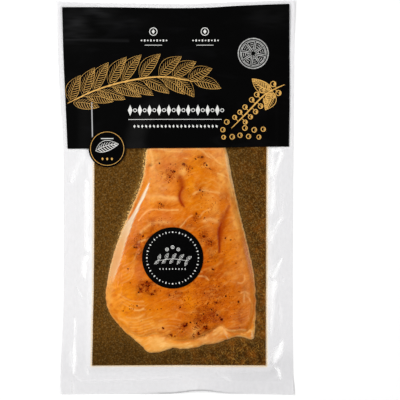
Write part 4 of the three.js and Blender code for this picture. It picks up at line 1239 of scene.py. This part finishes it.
class Print:
    """Flat shapes gathered in millimetres, to be laid on a surface as one piece of ink."""

    def __init__(self):
        self.places = []
        self.faces = []

    def strip(self, left, right):
        """A band between two rows of places, cut finely enough to follow what it lies on."""
        left, right = np.array(left), np.array(right)
        count = len(left)
        cuts = 1 + int(np.linalg.norm(left - right, axis=1).max() / INK_STEP)
        for cut in range(cuts + 1):
            self.places.append(left + (right - left) * cut / cuts)
        first = sum(len(row) for row in self.places[: -cuts - 1])
        for cut in range(cuts):
            for i in range(count - 1):
                a, b = first + cut * count + i, first + cut * count + i + 1
                self.faces.append((a + count, b + count, b, a))

    def stroke(self, points, width, taper=0.15, closed=False):
        """A pen stroke along a smooth line, thin at both ends."""
        line = curved(points, closed, 6)
        if closed:
            line = np.concatenate([line, line[:1]])
        along = np.gradient(line, axis=0)
        along /= np.linalg.norm(along, axis=1)[:, None] + 1e-9
        side = np.stack([-along[:, 1], along[:, 0]], axis=1)
        share = np.linspace(0, 1, len(line))
        thick = np.full(len(line), width / 2.0)
        if not closed:
            thick *= taper + (1 - taper) * np.sin(np.pi * share) ** 0.6
        self.strip(line + side * thick[:, None], line - side * thick[:, None])

    def ring(self, x, y, radius, width, corners=40, start=0.0, sweep=2 * math.pi):
        angle = start + sweep * np.linspace(0, 1, corners + 1)
        spoke = np.stack([np.cos(angle), np.sin(angle)], axis=1)
        centre = np.array([x, y])
        self.strip(centre + spoke * (radius + width / 2), centre + spoke * (radius - width / 2))

    def dot(self, x, y, radius):
        self.ring(x, y, radius / 2, radius * 0.98, 12)

    def lozenge(self, x, y, half_width, half_height, turn=0.0):
        share = np.linspace(-1, 1, 7)
        half = half_height * (1 - np.abs(share))
        across = share * half_width
        cos, sin = math.cos(turn), math.sin(turn)
        upper = np.column_stack([x + across * cos - half * sin, y + across * sin + half * cos])
        lower = np.column_stack([x + across * cos + half * sin, y + across * sin - half * cos])
        self.strip(upper, lower)

    def bar(self, x0, y0, x1, y1, width):
        share = np.linspace(0, 1, 2 + int(abs(x1 - x0) + abs(y1 - y0)))[:, None]
        line = np.array([x0, y0]) + share * np.array([x1 - x0, y1 - y0])
        side = np.array([y0 - y1, x1 - x0]) / math.hypot(x1 - x0, y1 - y0) * width / 2
        self.strip(line + side, line - side)

    def leaf(self, x, y, turn, length, half_width, hatches, pen=1.0):
        """An engraved leaf: its outline, midrib, and hatching that is closer on one side."""
        forward = np.array([math.cos(turn), math.sin(turn)])
        sideways = np.array([-forward[1], forward[0]])
        root = np.array([x, y])
        share = np.linspace(0, 1, 9)
        belly = half_width * np.sin(np.pi * share**0.85) ** 0.9
        bend = 0.08 * length * np.sin(np.pi * share)
        rib = root + np.outer(share * length, forward) + np.outer(bend, sideways)
        for side, weight in ((1, 0.42), (-1, 0.62)):
            self.stroke(rib + np.outer(side * belly, sideways), weight * pen, 0.5)
        self.stroke(rib, 0.55 * pen)
        for k in range(1, hatches):
            for side, reach, weight in ((1, 0.66, 0.42), (-1, 0.94, 0.7)):
                start = k / hatches * 0.9
                end = min(start + 0.14, 1)
                middle = (start + end) / 2
                spots = [np.interp(s, share, rib[:, 0]) for s in (start, middle, end)]
                others = [np.interp(s, share, rib[:, 1]) for s in (start, middle, end)]
                wide = np.interp([start, middle, end], share, belly) * side * reach
                line = np.column_stack([spots, others]) + np.outer(wide * [0.05, 0.6, 1], sideways)
                self.stroke(line, weight * pen, 0.3)

    def piece(self, name, surface, material, node):
        places = np.concatenate(self.places)
        z = surface(places[:, 0], places[:, 1]) + INK_LIFT
        fixed(made(name, np.column_stack([places, z]), self.faces, material), node)


def ink(name, main, second, share):
    """Printing ink with the faint mottle of paper under it."""
    coat = Finish(name)
    mottle = coat.rise(coat.grain(1.4, 3.0), 0.4, 0.7)
    colour = coat.mixed(main, (second, mottle * share))
    return coat.done({"Base Color": colour, "Roughness": 0.5, "Specular IOR Level": 0.3})


gold_ink = ink("gold_ink", GOLD_INK, GOLD_INK_DARK, 0.7)
white_ink = ink("off_white_ink", WHITE_INK, GREY_INK, 0.25)
grey_ink = ink("grey_ink", GREY_INK, WHITE_INK, 0.5)

branch = Print()
BRANCH_PEN = 0.42
stem = curved([(-69, 60), (-52, 68), (-32, 74), (-8, 77), (12, 74)], False, 10)
branch.stroke(stem[::4], 1.0, 0.3)
for k, share in enumerate(np.linspace(0.04, 0.96, 9)):
    place = int(share * (len(stem) - 1))
    at, ahead = stem[place], stem[min(place + 2, len(stem) - 1)]
    heading = math.atan2(ahead[1] - at[1], ahead[0] - at[0]) if share < 0.95 else -0.3
    length = 22 - 9 * abs(share - 0.45)
    branch.leaf(*at, heading + 0.75, length, 4.3, round(length / 1.9), BRANCH_PEN)
    if k < 8:
        lower = (at[0] + 2, at[1] - 0.6, heading - 0.62)
        branch.leaf(*lower, length * 0.92, 4.0, round(length / 2), BRANCH_PEN)
branch.leaf(*stem[-1], -0.25, 18, 3.8, 9, BRANCH_PEN)
branch.piece("label_bay_branch", label_top, gold_ink, "label")

spray = Print()
CORN_PEN = 0.5
GLINT_START, GLINT_SWEEP = -1.2, 2.2
LOOSE_CORNS = [
    (33, 48, 1.5), (30.5, 43, 1.4), (36.5, 38.5, 1.5), (41.5, 39.5, 1.4), (31, 38.2, 1.2),
    (44.6, 44.2, 1.5), (47, 38.8, 1.4), (50.6, 43, 1.5), (53.6, 38.4, 1.3), (56.4, 43.4, 1.4),
]
spray_stem = curved([(70, 72), (58, 66), (47, 55), (36, 44)], False, 10)
spray.stroke(spray_stem[::5], 0.9, 0.4)
for k in range(15):
    at = spray_stem[4 + int(k * 1.6)]
    side = 1 if k % 2 else -1
    x, y = at[0] + side * 2.3, at[1] - side * 2.6
    radius = 1.7 - 0.03 * k
    spray.stroke([tuple(at), (x, y)], 0.4)
    spray.ring(x, y, radius, CORN_PEN, 20)
    for share in (0.25, 0.5, 0.75):
        spray.ring(x, y, radius * share, 0.32, 10, GLINT_START, GLINT_SWEEP)
for x, y, radius in LOOSE_CORNS:
    spray.ring(x, y, radius, CORN_PEN, 20)
    spray.ring(x, y, radius / 2, 0.4, 10, GLINT_START, GLINT_SWEEP)
for turn, length in ((2.6, 15), (-1.9, 13)):
    spray.leaf(62, 68, turn, length, 3.6, 9, 1.1)
spray.piece("label_pepper_spray", label_top, gold_ink, "label")

lemon = Print()
LEMON_X, LEMON_Y, LEMON_RADIUS = 50.0, 92.0, 9.6
SEGMENTS, SEGMENT_REACH, SEGMENT_HALF, CORE = 8, 7.6, 0.33, 1.3
lemon.ring(LEMON_X, LEMON_Y, LEMON_RADIUS, 0.7, 48)
lemon.ring(LEMON_X, LEMON_Y, LEMON_RADIUS - 1.3, 0.35, 48)
for k in range(SEGMENTS):
    turn = k * 2 * math.pi / SEGMENTS + 0.2
    inner = (LEMON_X + CORE * math.cos(turn), LEMON_Y + CORE * math.sin(turn))
    for heading in (turn - SEGMENT_HALF, turn + SEGMENT_HALF):
        tip = (LEMON_X + SEGMENT_REACH * math.cos(heading), LEMON_Y + SEGMENT_REACH * math.sin(heading))
        lemon.stroke([inner, tip], 0.5, 0.5)
    lemon.ring(LEMON_X, LEMON_Y, SEGMENT_REACH, 0.5, 8, turn - SEGMENT_HALF, 2 * SEGMENT_HALF)
    for reach in (3.4, 5.0, 6.3):
        lemon.ring(LEMON_X, LEMON_Y, reach, 0.4, 5, turn - 0.2, 0.34)
lemon.piece("label_lemon_slice", label_top, grey_ink, "label")

titles = Print()
ROW_Y, RULE_Y, SMALL_ROW_Y = 55.5, 49.6, 45.2
CREST_Y, CREST_MARKS_Y, CREST_RULE_Y = 106, 100.3, 97.3
for k in range(10):
    x = -28.8 + k * 6.2
    titles.lozenge(x, ROW_Y, 1.45, 3.5)
    titles.ring(x + 3.1, ROW_Y, 1.0, 0.45, 16)
titles.bar(-30, RULE_Y, 29.8, RULE_Y, 0.3)
for k in range(22):
    titles.lozenge(-26 + k * 2.5, SMALL_ROW_Y, 0.7, 1.1, 0.5 * (k % 2))
for x in (-14, 19):
    titles.ring(x, CREST_Y, 2.4, 0.45, 28)
    titles.lozenge(x, CREST_Y, 1.1, 1.5)
    for k in range(9):
        start = x - 8 + k * 2
        titles.bar(start, CREST_MARKS_Y, x - 7.1 + k * 2, CREST_MARKS_Y, 1.3 if k % 2 else 0.8)
    titles.bar(x - 5.5, CREST_RULE_Y, x + 5.5, CREST_RULE_Y, 0.3)
titles.piece("label_ornaments", label_top, white_ink, "label")

# The badge: a small round sticker of black paper with a gold ring and an off-white leaf. It is stuck
# on last, half on the label's lower corner and half on the film beside it.
BADGE_X, BADGE_Y, BADGE_RADIUS = -43.5, 31.0, 12.0
BADGE_SPACING = 1.0
BADGE_RING = 10.7
STICKER_PAPER = 0.22


def circle(x, y, radius, corners=96):
    angle = np.linspace(0, 2 * np.pi, corners, endpoint=False)
    return np.column_stack([x + radius * np.cos(angle), y + radius * np.sin(angle)])


def badge_top(x, y):
    on_label = ease(y, 26.2, 31.4)
    over_label = label_top(x, np.maximum(y, 31.5))
    return label_under(x, y) * (1 - on_label) + over_label * on_label + STICKER_PAPER + 0.05


def sticker(name, line, spacing, surface, node):
    """A sheet of black paper whose face lies where a function says."""
    fill = filled(line, spacing, (0.2,))
    face = surface(*fill[0].T)
    fixed(slab(name, fill, face, face - STICKER_PAPER, sticker_finish), node)


sticker_paint = Finish("black_sticker")
tooth = sticker_paint.grain(0.6, 3.0)
sticker_finish = sticker_paint.done({
    "Base Color": sticker_paint.mixed(LABEL_BLACK, (LABEL_WORN, sticker_paint.rise(tooth, 0.45, 0.8))),
    "Roughness": 0.46,
    "Specular IOR Level": 0.02,
    "Normal": sticker_paint.relief(tooth, 0.015),
})
badge_line = circle(BADGE_X, BADGE_Y, BADGE_RADIUS)
sticker("badge_sheet", badge_line, BADGE_SPACING, badge_top, "badge_sticker")

badge_gold = Print()
badge_gold.ring(BADGE_X, BADGE_Y, BADGE_RING, 0.28, 64)
for k in range(3):
    badge_gold.lozenge(BADGE_X - 3 + 3 * k, BADGE_Y - 6.6, 0.7, 1.0)
badge_gold.piece("badge_gold", badge_top, gold_ink, "badge_sticker")
badge_white = Print()
badge_white.leaf(BADGE_X - 7.4, BADGE_Y - 1.4, 0.28, 15.4, 3.4, 8, 0.72)
badge_white.bar(BADGE_X - 4, BADGE_Y + 6.4, BADGE_X + 4, BADGE_Y + 6.4, 0.5)
badge_white.piece("badge_leaf", badge_top, white_ink, "badge_sticker")

# The round sticker: black paper on the film over the thickest part of the fish, with a ring of
# small marks and a plain sprig in off-white.
ROUND_SPACING = 1.2
MARKS, MARKS_RADIUS = 48, 16.4
SPRIG_PEN = 0.36


def sticker_top(x, y):
    return SLICES_MEET + top_swell(x, y)[0] + FILM_GAP + STICKER_PAPER + 0.04


round_line = circle(STICKER_X, STICKER_Y, STICKER_RADIUS, 160)
sticker(
    "round_sticker_sheet", round_line, ROUND_SPACING, sticker_top, "round_sticker"
)

marks = Print()
for k in range(MARKS):
    turn = 2 * math.pi * k / MARKS
    x, y = STICKER_X + MARKS_RADIUS * math.cos(turn), STICKER_Y + MARKS_RADIUS * math.sin(turn)
    if k % 12 == 0 or k % 2:
        marks.dot(x, y, 0.32 if k % 2 else 0.5)
    else:
        marks.lozenge(x, y, 0.42, 0.85, turn + math.pi / 2)
sprig = [(STICKER_X + x, STICKER_Y + y) for x, y in ((-10.5, -2), (0, -0.6), (10.5, -2))]
marks.stroke(sprig, 0.28)
for k in range(-2, 3):
    x, y = STICKER_X + 4.4 * k, STICKER_Y - 0.6 - 0.013 * (4.4 * k) ** 2
    lean = 0.5 * math.pi - 0.16 * k
    marks.leaf(x, y, lean - 0.6, 4.2, 0.9, 2, SPRIG_PEN)
    marks.leaf(x, y, -lean - 0.6, 3.6, 0.8, 2, SPRIG_PEN)
for x, y in ((-3.6, 5.4), (0, 6.9), (3.6, 5.4)):
    marks.ring(STICKER_X + x, STICKER_Y + y, 0.95, 0.34, 20)
    marks.dot(STICKER_X + x, STICKER_Y + y, 0.36)
for k in range(9):
    marks.lozenge(STICKER_X - 8 + 2 * k, STICKER_Y - 7, 0.36, 0.62)
marks.piece("round_sticker_print", sticker_top, white_ink, "round_sticker")

# The view: straight down on the pack, which lies on a plain white floor, with a large soft lamp
# from the upper left and weaker ones from the right and from below.
CAMERA_X, CAMERA_Y, CAMERA_HEIGHT = 15.9, -1.9, 1200.0
VIEW_WIDTH = 256.0
SENSOR = 36.0
FLOOR_HALF = 1500.0
ROOM_LIGHT = 0.12

camera_data = bpy.data.cameras.new("camera")
camera_data.sensor_width = SENSOR
camera_data.lens = SENSOR * (CAMERA_HEIGHT - 2) / VIEW_WIDTH
camera = bpy.data.objects.new("camera", camera_data)
camera.location = (CAMERA_X * MM, CAMERA_Y * MM, CAMERA_HEIGHT * MM)
bpy.context.scene.collection.objects.link(camera)
bpy.context.scene.camera = camera

floor_paint = Finish("white_floor")
floor_look = {"Base Color": (0.93, 0.93, 0.93, 1), "Roughness": 0.9, "Specular IOR Level": 0.1}
floor = made(
    "floor",
    [(x * FLOOR_HALF, y * FLOOR_HALF, 0) for x, y in ((-1, -1), (1, -1), (1, 1), (-1, 1))],
    [(0, 1, 2, 3)],
    floor_paint.done(floor_look),
    False,
)


def lamp(name, place, width, height, power):
    data = bpy.data.lights.new(name, "AREA")
    data.shape = "RECTANGLE"
    data.size = width
    data.size_y = height
    data.energy = power
    light = bpy.data.objects.new(name, data)
    light.location = place
    light.rotation_euler = (-Vector(place)).to_track_quat("-Z", "Y").to_euler()
    bpy.context.scene.collection.objects.link(light)


lamp("key", (-1.2, 0.54, 1.55), 1.35, 0.93, 42)
lamp("fill_right", (1.6, -0.3, 1.4), 1.2, 1.2, 17)
lamp("fill_front", (0.1, -1.8, 1.4), 1.4, 1.0, 8)

world = bpy.data.worlds.new("studio")
world.use_nodes = True
world.node_tree.nodes["Background"].inputs["Color"].default_value = (1, 1, 1, 1)
world.node_tree.nodes["Background"].inputs["Strength"].default_value = ROOM_LIGHT
bpy.context.scene.world = world
bpy.context.scene.view_settings.view_transform = "Standard"
